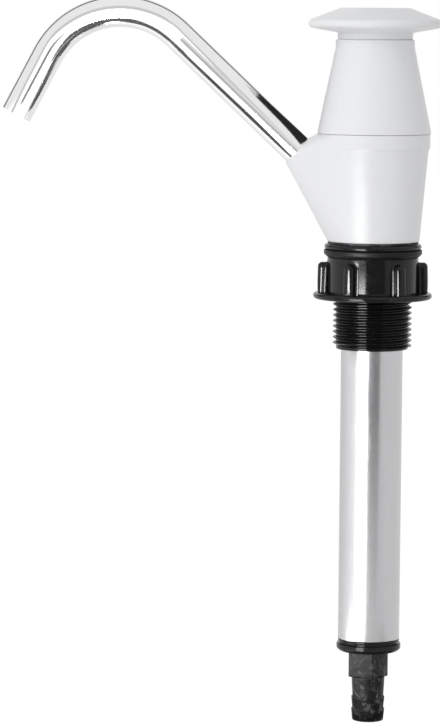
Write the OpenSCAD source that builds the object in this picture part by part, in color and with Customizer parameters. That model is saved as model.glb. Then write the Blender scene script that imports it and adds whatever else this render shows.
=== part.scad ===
// Hand pump for a water jug or galley: a knob pulls a piston up and down in a long barrel,
// and the water leaves through a bent spout on a head that swivels.
// Millimetres, +Z up. The origin is on the pump's axis, in the underside of the shoulder
// that the seal washer bears on. The spout points along -X.

/* [Knob] */
// Radius of the knob over its rim
knob_r = 28; // [22:0.5:34]
// Height of the knob from the cap to its flat top
knob_h = 13.1; // [11:0.1:18]
// Radius of the knob's flat top
knob_top_r = 14.4; // [8:0.2:16]
// Slope of the knob's top cone, in degrees
knob_top_slope = 21; // [14:1:24]
// Slope of the knob's underside, in degrees
knob_under_slope = 10; // [4:1:14]
// Radius of the knob's rounded rim
knob_rim_round = 1.9; // [1.2:0.1:2.4]
// Radius of the knob's neck, which rests on the cap
knob_neck_r = 15.7; // [14:0.1:16]
// Wall of the knob round its hollow underside
knob_wall = 2.5; // [1.6:0.1:3.5]
// Radius of the knob's inner boss, which holds the rod
knob_boss_r = 8.5; // [7.5:0.1:10]
// Radius of the plug that covers the knob's screw
knob_plug_r = 7.2; // [6:0.1:9]
// Thickness of the plug that covers the knob's screw
knob_plug_t = 1.6; // [1:0.1:2.5]

/* [Upper cap] */
// Height of the upper cap
cap_h = 39.3; // [34:0.1:48]
// Radius of the upper cap at the seam with the lower head
cap_base_r = 23.85; // [22.6:0.05:26]
// Radius of the upper cap's straight collar
cap_top_r = 16.5; // [15.8:0.1:18]
// Height of the upper cap's straight collar
cap_collar_h = 3.3; // [2:0.1:6]
// Wall of the upper cap's cone
cap_wall = 2.4; // [1.6:0.1:3.4]
// Thickness of the upper cap's top
cap_top_t = 5.0; // [4:0.1:7]
// Rounding of the upper cap's top edge
cap_round = 0.6; // [0.3:0.1:1]
// Radius of the rod guide's body in the cap's top
guide_r = 7.6; // [6:0.1:9]
// Radius of the rod guide's flange
guide_flange_r = 9.5; // [8.5:0.1:11]
// Thickness of the rod guide's flange
guide_flange_t = 1.5; // [1:0.1:2.5]
// Height of the wiper ring above the rod guide
wiper_h = 1.6; // [1:0.1:2.4]

/* [Lower head] */
// Height of the lower head from its skirt to the seam
head_h = 45.0; // [42:0.5:60]
// Radius of the lower head's cone at the skirt
head_skirt_r = 19.4; // [18.8:0.1:22]
// Radius that the lower head's cone reaches at the seam
head_cone_r = 23.4; // [22.4:0.05:26]
// Radius of the straight band under the seam
head_band_r = 23.45; // [22.8:0.05:26]
// Height of the straight band under the seam
head_band_h = 5.6; // [3:0.1:9]
// Height of the small step below the band
head_step_h = 1.5; // [0.6:0.1:3]
// Thickness of the deck that carries the rod's gland
deck_t = 12.5; // [10:0.1:18]
// Height of the ring that locates the upper cap
spigot_ring_h = 6.0; // [3:0.1:9]
// Wall of the ring that locates the upper cap
spigot_ring_wall = 2.6; // [1.6:0.1:4]
// Width of the seam's face that the upper cap bears on, outside the locating ring
seam_face_w = 3.1; // [2.6:0.1:3.8]
// Radius of the pocket for the rod seal and gland nut
gland_r = 8.0; // [7:0.1:10]
// Depth of the pocket for the rod seal and gland nut
gland_depth = 8.5; // [6:0.1:11]
// Height of the rod seal
rod_seal_h = 4.0; // [2.5:0.1:5]
// Width across flats of the gland nut's head
gland_nut_af = 19.0; // [17:0.1:22]
// Height of the gland nut's head
gland_nut_head_h = 4.0; // [3:0.1:6]

/* [Spout] */
// Outside radius of the spout tube
spout_r = 6.5; // [5.5:0.1:7.5]
// Wall of the spout tube
spout_wall = 1.0; // [0.6:0.1:1.6]
// Angle of the spout's long leg above level, in degrees
leg_angle = 43.5; // [38:0.5:48]
// Length of the long leg from the boss to the bend
leg_len = 69.4; // [45:0.2:110]
// Radius of the bend along the tube's middle
bend_r = 34.5; // [26:0.5:50]
// Angle of the bend, in degrees
bend_angle = 105.6; // [85:0.2:125]
// Length of the straight end below the bend
end_len = 28.0; // [18:0.5:45]
// Distance from the pump's axis to the middle of the boss's face
boss_x = 32.2; // [31:0.1:38]
// Height of the middle of the boss's face above the skirt
boss_z = 38.0; // [36:0.1:42]
// Wall of the boss at its face
boss_lip = 0.6; // [0.4:0.05:1.5]
// Length of tube held in the boss
spout_grip = 14.0; // [10:0.2:15]
// Distance from the boss's face to the spout's seal
spout_seal_in = 9.0; // [6:0.2:10]

/* [Mounting sleeve] */
// Outside radius of the threaded tail over its crests
thread_r = 16.62; // [16.2:0.01:17.6]
// Pitch of the tail's thread
thread_pitch = 2.309; // [1.8:0.001:3]
// Depth of the tail's thread
thread_depth = 1.479; // [1.1:0.001:1.6]
// Length of the tail below the shoulder
tail_len = 41.8; // [36:0.1:60]
// Radius of the shoulder
shoulder_r = 20.4; // [19.6:0.1:23]
// Thickness of the shoulder
shoulder_t = 2.5; // [2:0.1:5]
// Outside radius of the spigot that the head turns on
spigot_r = 16.0; // [15.4:0.05:16.6]
// Height of the spigot above the shoulder
spigot_h = 15.5; // [14:0.1:20]
// Inside radius of the spigot
spigot_bore_r = 11.9; // [10:0.1:12]
// Thickness of the swivel washer
swivel_washer_t = 1.0; // [0.6:0.1:2]
// Width of the swivel washer's ring
swivel_washer_w = 3.0; // [2:0.1:3.2]
// Height of the swivel seal's groove above the shoulder
swivel_seal_up = 6.0; // [5.5:0.1:7]
// Height of the snap ring's groove above the shoulder
snap_up = 10.8; // [9.8:0.1:12]
// Thickness of the snap ring
snap_t = 1.4; // [1:0.1:2]
// Width of the snap ring
snap_w = 1.8; // [1.4:0.1:2.2]
// Gap between the snap ring's ends
snap_gap = 4.0; // [2:0.5:8]

/* [Fixing nut and seal washer] */
// Outside radius of the seal washer
washer_r = 20.6; // [19.8:0.1:24]
// Thickness of the seal washer
washer_t = 3.0; // [2:0.1:5]
// Chamfer round the seal washer's lower edge
washer_chamfer = 1.2; // [0.4:0.1:1.6]
// Clearance of the seal washer over the thread
washer_clear = 0.35; // [0.3:0.05:0.8]
// Height of the fixing nut
nut_h = 17.7; // [14:0.1:22]
// Outside radius of the fixing nut's barrel
nut_barrel_r = 19.1; // [18.6:0.1:21]
// Radius of the fixing nut's flange
flange_r = 25.0; // [23.8:0.1:30]
// Thickness of the fixing nut's flange
flange_t = 2.6; // [2:0.1:4]
// Number of grip ribs on the fixing nut
rib_count = 6; // [4:1:10]
// Width of a grip rib
rib_w = 4.5; // [3:0.1:6]
// Distance that the ribs stop short of the nut's top
rib_drop = 2.3; // [1:0.1:5]
// Radius over the ribs at their top
rib_top_r = 23.0; // [21:0.1:24]
// Radius over the ribs at the flange
rib_foot_r = 23.4; // [21.4:0.1:25]
// Rounding of the ribs' upper outer corners
rib_round = 1.0; // [0.5:0.1:1.5]

/* [Barrel] */
// Outside radius of the barrel tube
tube_r = 13.0; // [12.4:0.1:13.6]
// Wall of the barrel tube
tube_wall = 1.0; // [0.6:0.1:1.6]
// Length of the barrel tube below the shoulder
tube_drop = 165.3; // [145:0.5:260]
// Length of the barrel tube above the shoulder
tube_rise = 3.5; // [2:0.1:4]
// Thickness of the gasket on the barrel tube's top
gasket_t = 1.5; // [1:0.1:2.5]

/* [Foot plug] */
// Length of the foot plug inside the barrel
plug_in = 18.3; // [17:0.1:24]
// Thickness of the foot plug's upper flange
plug_lip_t = 1.0; // [0.6:0.1:2]
// Height of the groove between the foot plug's flanges
plug_gap_t = 0.8; // [0.4:0.1:2]
// Thickness of the foot plug's lower flange
plug_flange_t = 3.2; // [2:0.1:6]
// Radius of the foot plug's lower flange
plug_flange_r = 13.6; // [13.1:0.1:16]
// Side of the foot plug's square block
block_w = 12.2; // [11:0.1:16]
// Height of the foot plug's square block
block_h = 11.6; // [8:0.1:18]
// Turn of the square block about the axis, in degrees
block_turn = 54; // [0:1:89]
// Radius of the hose tail over its teeth
barb_r = 7.0; // [6.2:0.05:7.6]
// Length of the hose tail's root above its first tooth
barb_root_len = 8.4; // [6:0.1:12]
// Length of one tooth of the hose tail
tooth_len = 5.1; // [4:0.1:7]
// Number of teeth on the hose tail
tooth_count = 2; // [1:1:5]
// Drop of a tooth's radius along its length
tooth_drop = 0.45; // [0.2:0.05:0.9]
// Length of the straight land at the start of each tooth
tooth_land = 0.6; // [0.3:0.1:1]
// Radius of the inlet bore
inlet_r = 4.0; // [3:0.1:4.4]
// Radius of the inlet valve's ball
ball_r = 6.0; // [5.8:0.1:6.3]
// Lift of the inlet valve's ball
ball_lift = 2.5; // [1.5:0.1:4]
// Radius of the chamber that the ball moves in
ball_chamber_r = 8.5; // [8:0.1:9]
// Thickness of the plate that keeps the ball in
cage_t = 2.0; // [1.4:0.1:3]
// Number of holes in the plate that keeps the ball in
cage_hole_count = 6; // [4:1:8]
// Radius of a hole in the plate that keeps the ball in
cage_hole_r = 1.7; // [1.2:0.1:1.8]
// Radius of the circle that the plate's holes lie on
cage_circle_r = 5.1; // [4.9:0.1:5.6]
// Height of the foot plug's seal above the barrel tube's end
foot_seal_up = 3.6; // [3:0.1:6]

/* [Plunger] */
// Radius of the plunger rod
rod_r = 4.0; // [3.5:0.1:4.5]
// Radius of the rod's threaded lower end
rod_tip_r = 3.0; // [2.4:0.1:3.2]
// Travel of the plunger
stroke = 100; // [60:1:102]
// Gap from the piston nut to the foot plug with the knob down
foot_gap = 3.5; // [2:0.1:6]
// Radial running gap of the piston body in the barrel
piston_gap = 0.5; // [0.3:0.05:0.8]
// Height of the piston body
piston_h = 12.0; // [11:0.1:18]
// Height of the piston's cup seal
cup_h = 6.0; // [4:0.1:7]
// Depth of the cup seal's groove
cup_depth = 2.1; // [1.6:0.1:2.4]
// Number of water ports through the piston
port_count = 6; // [4:1:8]
// Radius of a water port
port_r = 1.4; // [1:0.1:1.5]
// Radius of the circle that the water ports lie on
port_circle_r = 7.3; // [7:0.1:7.4]
// Thickness of the piston's valve disc
valve_t = 1.2; // [0.8:0.1:2]
// Lift of the piston's valve disc
valve_lift = 2.0; // [1:0.1:3]
// Radius of the piston's valve disc
valve_r = 10.2; // [9.4:0.1:10.8]
// Radius of the hub that the valve disc slides on
hub_r = 5.0; // [4.4:0.1:5.2]
// Thickness of the washer that stops the valve disc
stop_washer_t = 1.5; // [1:0.1:2.5]
// Radius of the washer that stops the valve disc
stop_washer_r = 9.5; // [8:0.1:10.5]
// Width across flats of the piston nut
piston_nut_af = 10.0; // [9:0.1:12]
// Height of the piston nut
piston_nut_h = 5.0; // [3:0.1:7]
// Outside radius of the stroke stop on the rod
stroke_stop_r = 8.5; // [7:0.1:10]
// Height of the stroke stop on the rod
stroke_stop_h = 8.0; // [5:0.1:12]
// Radius of the knob screw's shank
screw_r = 2.5; // [2:0.1:2.8]
// Radius of the knob screw's head
screw_head_r = 4.6; // [3.8:0.1:5.4]
// Height of the knob screw's head
screw_head_h = 3.0; // [2:0.1:3.6]
// Width across flats of the socket in the knob screw's head
screw_socket_af = 4.0; // [3:0.1:4.6]
// Length of the knob screw's shank in the rod
screw_bite = 12.0; // [8:0.5:20]
// Wall of the knob between the rod's top and the screw's head
knob_web = 3.0; // [2:0.1:4]

/* [Fits] */
// Radial running clearance
run_fit = 0.05; // [0.02:0.01:0.1]
// Radial clearance of pieces that are pressed or glued together
seat_fit = 0.02; // [0.01:0.01:0.05]
// Radial clearance of the nut over the thread's crests
thread_fit = 0.08; // [0.04:0.01:0.1]
// Small axial gap between pieces that don't bear on each other
axial_gap = 0.2; // [0.1:0.05:0.4]
// Section radius of the sealing rings
ring_r = 1.0; // [0.8:0.05:1.1]

/* [Hidden] */
$fn = 96;

// Fine step that lets a cut run past a face
cut = 0.1;
// The spout's straight lengths enter the bend's wall by this overlap, and are a hair thinner there
joint_overlap = 0.5;
joint_inset = 0.03;

// Heights of the outside, from the shoulder up
head_z = shoulder_t + swivel_washer_t;
seam_z = head_z + head_h;
deck_z = seam_z - deck_t;
cap_top_z = seam_z + cap_h;
knob_top_z = cap_top_z + knob_h;

// Inside of the swivel joint
socket_r = spigot_r + run_fit;
groove_w = 2 * ring_r + 2 * axial_gap;
swivel_groove_z = shoulder_t + swivel_seal_up;
snap_z = shoulder_t + snap_up;
spigot_top_z = shoulder_t + spigot_h;
snap_out_r = socket_r + snap_w / 2 - run_fit;

// Inside of the barrel
bore_r = tube_r - tube_wall;
tube_top_z = tube_rise;
tube_bottom_z = -tube_drop;

// Foot plug, from the tube's end down
plug_top_z = tube_bottom_z + plug_in;
plug_r = bore_r - run_fit;
lip_bottom_z = tube_bottom_z - plug_lip_t;
foot_seal_z = tube_bottom_z + foot_seal_up;
flange_top_z = lip_bottom_z - plug_gap_t;
flange_bottom_z = flange_top_z - plug_flange_t;
block_bottom_z = flange_bottom_z - block_h;
teeth_top_z = block_bottom_z - barb_root_len;
foot_z = teeth_top_z - tooth_count * tooth_len;

// Inlet valve: the ball sits on a cone of this half angle
ball_seat_angle = 45;
cage_bottom_z = plug_top_z - cage_t;
ball_z = cage_bottom_z - ball_lift - run_fit - ball_r;
cone_apex_z = ball_z - (ball_r + seat_fit) / sin(ball_seat_angle);
cone_low_z = cone_apex_z + inlet_r / tan(ball_seat_angle);
cone_high_z = cone_apex_z + ball_chamber_r / tan(ball_seat_angle);

// Plunger, from the foot plug up
nut_bottom_z = plug_top_z + foot_gap;
piston_z = nut_bottom_z + piston_nut_h;
piston_top_z = piston_z + piston_h;
hub_top_z = piston_top_z + valve_t + valve_lift + run_fit;
rod_shoulder_z = hub_top_z + stop_washer_t;
rod_tip_z = nut_bottom_z - run_fit;
piston_r = bore_r - piston_gap;
cup_z = piston_z + (piston_h - cup_h) / 2;
stroke_stop_z = deck_z - stroke - stroke_stop_h;

// Knob, from the top down
screw_head_z = knob_top_z - knob_plug_t - screw_head_h;
rod_top_z = screw_head_z - knob_web;

// Spout
spout_in_r = spout_r - spout_wall;
boss_face_r = spout_r + seat_fit + boss_lip;
boss_face_z = head_z + boss_z;
bend_start = 90 - leg_angle;
bend_x = -boss_x - leg_len * cos(leg_angle) - bend_r * cos(bend_start);
bend_z = boss_face_z + leg_len * sin(leg_angle) - bend_r * sin(bend_start);

// Fixing nut, from the washer down
nut_top_z = -washer_t;
nut_foot_z = nut_top_z - nut_h;
nut_bore_r = thread_r + thread_fit;
thread_root_r = thread_r - thread_depth;
shoulder_round = shoulder_t / 2;

// ---- Shapes that repeat ----

// A plain ring: outside radius, inside radius, height, from z up
module ring(out_r, in_r, h, z) {
    translate([0, 0, z])
        difference() {
            cylinder(r = out_r, h = h);
            translate([0, 0, -cut])
                cylinder(r = in_r, h = h + 2 * cut);
        }
}

// A round sealing ring whose section's middle lies at mid_r, z
module seal_ring(mid_r, z, section_r) {
    translate([0, 0, z])
        rotate_extrude()
            translate([mid_r, 0])
                circle(r = section_r, $fn = 32);
}

// A hexagonal prism by its width across flats
module hexagon(af, h, z) {
    translate([0, 0, z])
        cylinder(r = af / 2 / cos(30), h = h, $fn = 6);
}

// Puts children on the spout's long leg: origin in the boss's face, +Z up the leg
module on_leg() {
    translate([-boss_x, 0, boss_face_z])
        rotate([0, -(90 - leg_angle), 0])
            children();
}

// Puts children in the plane of the spout's bend: origin in the bend's middle, turned by angle
module on_bend(angle) {
    translate([bend_x, 0, bend_z])
        rotate([90, 0, 0])
            rotate([0, 0, angle])
                children();
}

// A straight length of the spout's tube from z = 0 up
module tube_length(len) {
    difference() {
        cylinder(r = spout_r - joint_inset, h = len);
        translate([0, 0, -cut])
            cylinder(r = spout_in_r + joint_inset, h = len + 2 * cut);
    }
}

// ---- Plunger ----

rim_mid_r = knob_r - knob_rim_round;
rim_mid_z = knob_top_z - (rim_mid_r - knob_top_r) * tan(knob_top_slope)
    - knob_rim_round / cos(knob_top_slope);
under_r = rim_mid_r + knob_rim_round * sin(knob_under_slope);
under_z = rim_mid_z - knob_rim_round * cos(knob_under_slope);
hollow_r = knob_neck_r - knob_wall;

module knob() {
    color("white")
        difference() {
            rotate_extrude()
                union() {
                    polygon([
                        [0, cap_top_z],
                        [knob_neck_r, cap_top_z],
                        [knob_neck_r, under_z - (under_r - knob_neck_r) * tan(knob_under_slope)],
                        [under_r, under_z],
                        [rim_mid_r, rim_mid_z],
                        [rim_mid_r + knob_rim_round * sin(knob_top_slope),
                            rim_mid_z + knob_rim_round * cos(knob_top_slope)],
                        [knob_top_r, knob_top_z],
                        [0, knob_top_z]
                    ]);
                    translate([rim_mid_r, rim_mid_z])
                        circle(r = knob_rim_round, $fn = 48);
                }
            // hollow between the neck and the boss
            difference() {
                translate([0, 0, cap_top_z - cut])
                    cylinder(r = hollow_r, h = screw_head_z - cap_top_z + cut);
                translate([0, 0, cap_top_z + axial_gap])
                    cylinder(r = knob_boss_r, h = knob_h);
            }
            // seats of the rod, the screw and its head, and the plug
            translate([0, 0, cap_top_z - cut])
                cylinder(r = rod_r + seat_fit, h = rod_top_z - cap_top_z + cut);
            translate([0, 0, rod_top_z - cut])
                cylinder(r = screw_r + run_fit, h = knob_h);
            translate([0, 0, screw_head_z])
                cylinder(r = screw_head_r + axial_gap, h = knob_h);
            translate([0, 0, knob_top_z - knob_plug_t])
                cylinder(r = knob_plug_r + seat_fit, h = knob_h);
        }
}

module knob_plug() {
    color("white")
        translate([0, 0, knob_top_z - knob_plug_t])
            cylinder(r = knob_plug_r, h = knob_plug_t);
}

module knob_screw() {
    color("silver")
        difference() {
            union() {
                translate([0, 0, screw_head_z])
                    cylinder(r = screw_head_r, h = screw_head_h);
                translate([0, 0, rod_top_z - screw_bite])
                    cylinder(r = screw_r, h = screw_bite + knob_web + cut);
            }
            hexagon(screw_socket_af, screw_head_h, screw_head_z + screw_head_h / 2);
        }
}

module plunger_rod() {
    color("silver")
        difference() {
            union() {
                translate([0, 0, rod_shoulder_z])
                    cylinder(r = rod_r, h = rod_top_z - rod_shoulder_z);
                translate([0, 0, rod_tip_z])
                    cylinder(r = rod_tip_r, h = rod_shoulder_z - rod_tip_z + cut);
            }
            translate([0, 0, rod_top_z - screw_bite - 2 * screw_r])
                cylinder(r = screw_r + seat_fit, h = screw_bite + 2 * screw_r + cut);
        }
}

module stroke_stop() {
    color("dimgray")
        ring(stroke_stop_r, rod_r + seat_fit, stroke_stop_h, stroke_stop_z);
}

module valve_stop_washer() {
    color("silver")
        ring(stop_washer_r, rod_tip_r + seat_fit, stop_washer_t, hub_top_z);
}

module piston_body() {
    color("white")
        difference() {
            union() {
                translate([0, 0, piston_z])
                    cylinder(r = piston_r, h = piston_h);
                translate([0, 0, piston_z])
                    cylinder(r = hub_r, h = hub_top_z - piston_z);
            }
            translate([0, 0, piston_z - cut])
                cylinder(r = rod_tip_r + seat_fit, h = hub_top_z - piston_z + 2 * cut);
            ring(bore_r, piston_r - cup_depth, cup_h + 2 * axial_gap, cup_z - axial_gap);
            for (i = [0 : port_count - 1])
                rotate([0, 0, i * 360 / port_count])
                    translate([port_circle_r, 0, piston_z - cut])
                        cylinder(r = port_r, h = piston_h + 2 * cut, $fn = 32);
        }
}

module piston_cup_seal() {
    in_r = piston_r - cup_depth + seat_fit;
    out_r = bore_r - run_fit;
    lip = (out_r - in_r) / 3;
    // a heel that grips the groove, and a V of two lips that opens upwards
    color("black")
        rotate_extrude()
            polygon([
                [in_r, cup_z],
                [out_r - lip, cup_z],
                [out_r, cup_z + cup_h / 2],
                [out_r, cup_z + cup_h],
                [out_r - lip, cup_z + cup_h],
                [(in_r + out_r) / 2, cup_z + cup_h / 2],
                [in_r + lip, cup_z + cup_h],
                [in_r, cup_z + cup_h]
            ]);
}

module piston_nut() {
    color("silver")
        difference() {
            hexagon(piston_nut_af, piston_nut_h, nut_bottom_z);
            translate([0, 0, nut_bottom_z - cut])
                cylinder(r = rod_tip_r + seat_fit, h = piston_nut_h + 2 * cut);
        }
}

module piston_valve_disc() {
    color("black")
        ring(valve_r, hub_r + run_fit, valve_t, piston_top_z);
}

// ---- Head ----

cap_slope = (cap_base_r - cap_top_r) / (cap_h - cap_collar_h);
ring_out_r = head_band_r - seam_face_w;
guide_z = cap_top_z - cap_top_t;

module upper_cap() {
    collar_z = cap_top_z - cap_collar_h;
    inner_top_r = cap_top_r + cap_slope * (cap_top_t - cap_collar_h) - cap_wall;
    fit_z = seam_z + spigot_ring_h + axial_gap;
    color("white")
        difference() {
            rotate_extrude()
                union() {
                    polygon([
                        [0, seam_z],
                        [cap_base_r, seam_z],
                        [cap_top_r, collar_z],
                        [cap_top_r, cap_top_z - cap_round],
                        [cap_top_r - cap_round, cap_top_z],
                        [0, cap_top_z]
                    ]);
                    translate([cap_top_r - cap_round, cap_top_z - cap_round])
                        circle(r = cap_round, $fn = 24);
                }
            // inside of the cone, down to the ring that locates the cap
            rotate_extrude()
                polygon([
                    [0, fit_z],
                    [cap_base_r - cap_slope * (fit_z - seam_z) - cap_wall, fit_z],
                    [inner_top_r, guide_z],
                    [0, guide_z]
                ]);
            translate([0, 0, seam_z - cut])
                cylinder(r = ring_out_r + seat_fit, h = fit_z - seam_z + 2 * cut);
            translate([0, 0, guide_z - cut])
                cylinder(r = guide_r + seat_fit, h = cap_top_t + 2 * cut);
        }
}

module rod_guide() {
    body_h = cap_top_t - wiper_h - axial_gap;
    color("ivory")
        difference() {
            union() {
                translate([0, 0, guide_z - cut])
                    cylinder(r = guide_r, h = body_h + cut);
                translate([0, 0, guide_z - guide_flange_t])
                    cylinder(r = guide_flange_r, h = guide_flange_t);
            }
            translate([0, 0, guide_z - guide_flange_t - cut])
                cylinder(r = rod_r + run_fit, h = cap_top_t + guide_flange_t);
        }
}

module rod_wiper() {
    lip_r = rod_r + run_fit;
    base_z = cap_top_z - wiper_h - axial_gap;
    // a flat ring with a lip that leans in towards the rod
    color("black")
        rotate_extrude()
            polygon([
                [guide_r, base_z],
                [guide_r, base_z + wiper_h],
                [lip_r + wiper_h, base_z + wiper_h / 2],
                [lip_r, base_z + wiper_h],
                [lip_r, base_z]
            ]);
}

module lower_head() {
    band_z = seam_z - head_band_h;
    step_r = head_skirt_r + (head_cone_r - head_skirt_r) * (head_h - head_band_h - head_step_h) / head_h;
    color("white")
        difference() {
            union() {
                // the cone and the boss of the spout, blended by flat flanks
                hull() {
                    translate([0, 0, head_z])
                        cylinder(r1 = head_skirt_r, r2 = head_cone_r, h = head_h, $fn = 96);
                    on_leg()
                        translate([0, 0, -boss_lip])
                            cylinder(r = boss_face_r, h = boss_lip, $fn = 32);
                }
                // the straight band under the seam, and its step
                translate([0, 0, band_z])
                    cylinder(r = head_band_r, h = head_band_h);
                translate([0, 0, band_z - head_step_h])
                    cylinder(r1 = step_r + run_fit, r2 = head_band_r, h = head_step_h + cut);
                // the ring that locates the cap
                translate([0, 0, seam_z - cut])
                    cylinder(r = ring_out_r, h = spigot_ring_h + cut);
            }
            // the socket that turns on the sleeve's spigot, up to the deck
            translate([0, 0, head_z - cut])
                cylinder(r = socket_r, h = deck_z - head_z + cut);
            ring(snap_out_r + run_fit, socket_r - cut, snap_t + 2 * axial_gap, snap_z - axial_gap);
            // the gland's pocket and the rod's hole
            translate([0, 0, seam_z])
                cylinder(r = ring_out_r - spigot_ring_wall, h = spigot_ring_h + cut);
            translate([0, 0, seam_z - gland_depth])
                cylinder(r = gland_r, h = gland_depth + cut);
            translate([0, 0, deck_z - cut])
                cylinder(r = rod_r + axial_gap, h = deck_t);
            // the seat of the spout, its seal's groove and the port to the chamber
            on_leg() {
                translate([0, 0, -spout_grip])
                    cylinder(r = spout_r + seat_fit, h = spout_grip + boss_face_r);
                translate([0, 0, -spout_seal_in - groove_w / 2])
                    cylinder(r = spout_r + 2 * ring_r - axial_gap, h = groove_w);
                translate([0, 0, -spout_grip - spout_r])
                    cylinder(r = spout_in_r, h = spout_r + cut);
            }
        }
}

module rod_seal() {
    base_z = seam_z - gland_depth;
    in_r = rod_r + run_fit;
    out_r = gland_r - seat_fit;
    mid_r = (in_r + out_r) / 2;
    // a heel and two lips that open downwards onto the pressure
    color("black")
        rotate_extrude()
            polygon([
                [in_r, base_z],
                [in_r + (mid_r - in_r) / 2, base_z],
                [mid_r, base_z + rod_seal_h / 2],
                [out_r - (out_r - mid_r) / 2, base_z],
                [out_r, base_z],
                [out_r, base_z + rod_seal_h],
                [in_r, base_z + rod_seal_h]
            ]);
}

module gland_nut() {
    base_z = seam_z - gland_depth + rod_seal_h;
    shank_h = seam_z - base_z;
    color("gold")
        difference() {
            union() {
                translate([0, 0, base_z])
                    cylinder(r = gland_r - seat_fit, h = shank_h + cut);
                hexagon(gland_nut_af, gland_nut_head_h, seam_z);
            }
            translate([0, 0, base_z - cut])
                cylinder(r = rod_r + run_fit, h = shank_h + gland_nut_head_h + 2 * cut);
        }
}

module spout() {
    color("silver")
        union() {
            on_leg()
                translate([0, 0, -spout_grip])
                    tube_length(leg_len + spout_grip + joint_overlap);
            on_bend(bend_start)
                rotate_extrude(angle = bend_angle)
                    translate([bend_r, 0])
                        difference() {
                            circle(r = spout_r);
                            circle(r = spout_in_r);
                        }
            on_bend(bend_start + bend_angle)
                translate([bend_r, -joint_overlap, 0])
                    rotate([-90, 0, 0])
                        tube_length(end_len + joint_overlap);
        }
}

module spout_seal() {
    section_r = ring_r - axial_gap / 2 - seat_fit;
    color("black")
        on_leg()
            seal_ring(spout_r + seat_fit + section_r, -spout_seal_in, section_r);
}

// ---- Mounting sleeve ----

thread_top_z = nut_top_z - thread_pitch / 2;
thread_end_z = -tail_len + thread_pitch / 2;
thread_turns = floor((thread_top_z - thread_end_z) / thread_pitch);
crest_w = thread_pitch / 6;

module mounting_sleeve() {
    // one groove of the thread, from crest to crest
    function groove_points(i) = let (z = thread_top_z - i * thread_pitch) [
        [thread_r, z],
        [thread_root_r, z - (thread_pitch - crest_w) / 2],
        [thread_r, z - thread_pitch + crest_w]
    ];
    color("black")
        difference() {
            union() {
                // the spigot and the tail
                rotate_extrude()
                    polygon(concat(
                        [[0, spigot_top_z], [spigot_r, spigot_top_z], [spigot_r, -cut], [thread_r, -cut]],
                        [for (i = [0 : thread_turns - 1]) each groove_points(i)],
                        [[thread_root_r, -tail_len], [0, -tail_len]]
                    ));
                // the shoulder, with a round edge
                rotate_extrude()
                    union() {
                        square([shoulder_r - shoulder_round, shoulder_t]);
                        translate([shoulder_r - shoulder_round, shoulder_round])
                            circle(r = shoulder_round, $fn = 32);
                    }
            }
            // the barrel's seat, and the water's way up
            translate([0, 0, -tail_len - cut])
                cylinder(r = tube_r + seat_fit, h = tail_len + cut + tube_top_z + gasket_t);
            translate([0, 0, tube_top_z])
                cylinder(r = spigot_bore_r, h = spigot_top_z);
            // grooves of the swivel's seal and snap ring
            ring(spigot_r + cut, spigot_r - 2 * ring_r, groove_w, swivel_groove_z - groove_w / 2);
            ring(spigot_r + cut, snap_out_r - snap_w - run_fit, snap_t + 2 * axial_gap, snap_z - axial_gap);
        }
}

module swivel_washer() {
    color("dimgray")
        ring(spigot_r + swivel_washer_w, spigot_r + axial_gap, swivel_washer_t, shoulder_t);
}

module swivel_seal() {
    section_r = ring_r - run_fit / 2;
    color("black")
        seal_ring(spigot_r - 2 * ring_r + section_r + seat_fit, swivel_groove_z, section_r);
}

module snap_ring() {
    color("silver")
        difference() {
            ring(snap_out_r - run_fit, snap_out_r - snap_w, snap_t, snap_z);
            translate([0, -snap_gap / 2, snap_z - cut])
                cube([spigot_r + snap_w, snap_gap, snap_t + 2 * cut]);
        }
}

module barrel_gasket() {
    color("black")
        ring(tube_r, spigot_bore_r, gasket_t, tube_top_z);
}

module barrel_tube() {
    color("lightgray")
        ring(tube_r, bore_r, tube_drop + tube_rise, tube_bottom_z);
}

// ---- Foot plug ----

module foot_plug() {
    block_core_r = block_w / 2 - axial_gap;
    // one tooth of the hose tail, with a short straight land at its top
    function tooth_points(z, len) = [
        [barb_r, z],
        [barb_r, z - tooth_land],
        [barb_r - tooth_drop, z - len]
    ];
    color("dimgray")
        difference() {
            union() {
                rotate_extrude()
                    polygon(concat(
                        [
                            [0, plug_top_z],
                            [plug_r, plug_top_z],
                            [plug_r, tube_bottom_z],
                            [tube_r, tube_bottom_z],
                            [tube_r, lip_bottom_z],
                            [plug_r, lip_bottom_z],
                            [plug_r, flange_top_z],
                            [plug_flange_r, flange_top_z],
                            [plug_flange_r, flange_bottom_z + plug_flange_t / 3],
                            [plug_flange_r - plug_flange_t / 3, flange_bottom_z],
                            [block_core_r, flange_bottom_z],
                            [block_core_r, block_bottom_z]
                        ],
                        tooth_points(block_bottom_z, barb_root_len),
                        [for (i = [0 : tooth_count - 1]) each tooth_points(teeth_top_z - i * tooth_len, tooth_len)],
                        [[0, foot_z]]
                    ));
                rotate([0, 0, block_turn])
                    translate([-block_w / 2, -block_w / 2, block_bottom_z])
                        cube([block_w, block_w, block_h + cut]);
            }
            translate([0, 0, foot_z - cut])
                cylinder(r = inlet_r, h = cone_low_z - foot_z + 2 * cut);
            // the ball's conical seat and its chamber
            translate([0, 0, cone_low_z])
                cylinder(r1 = inlet_r, r2 = ball_chamber_r, h = cone_high_z - cone_low_z);
            translate([0, 0, cone_high_z])
                cylinder(r = ball_chamber_r, h = plug_top_z - cone_high_z + cut);
            ring(plug_r + cut, plug_r - 2 * ring_r, groove_w, foot_seal_z - groove_w / 2);
        }
}

module foot_plug_seal() {
    section_r = ring_r - run_fit / 2;
    color("black")
        seal_ring(plug_r - 2 * ring_r + section_r + seat_fit, foot_seal_z, section_r);
}

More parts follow.
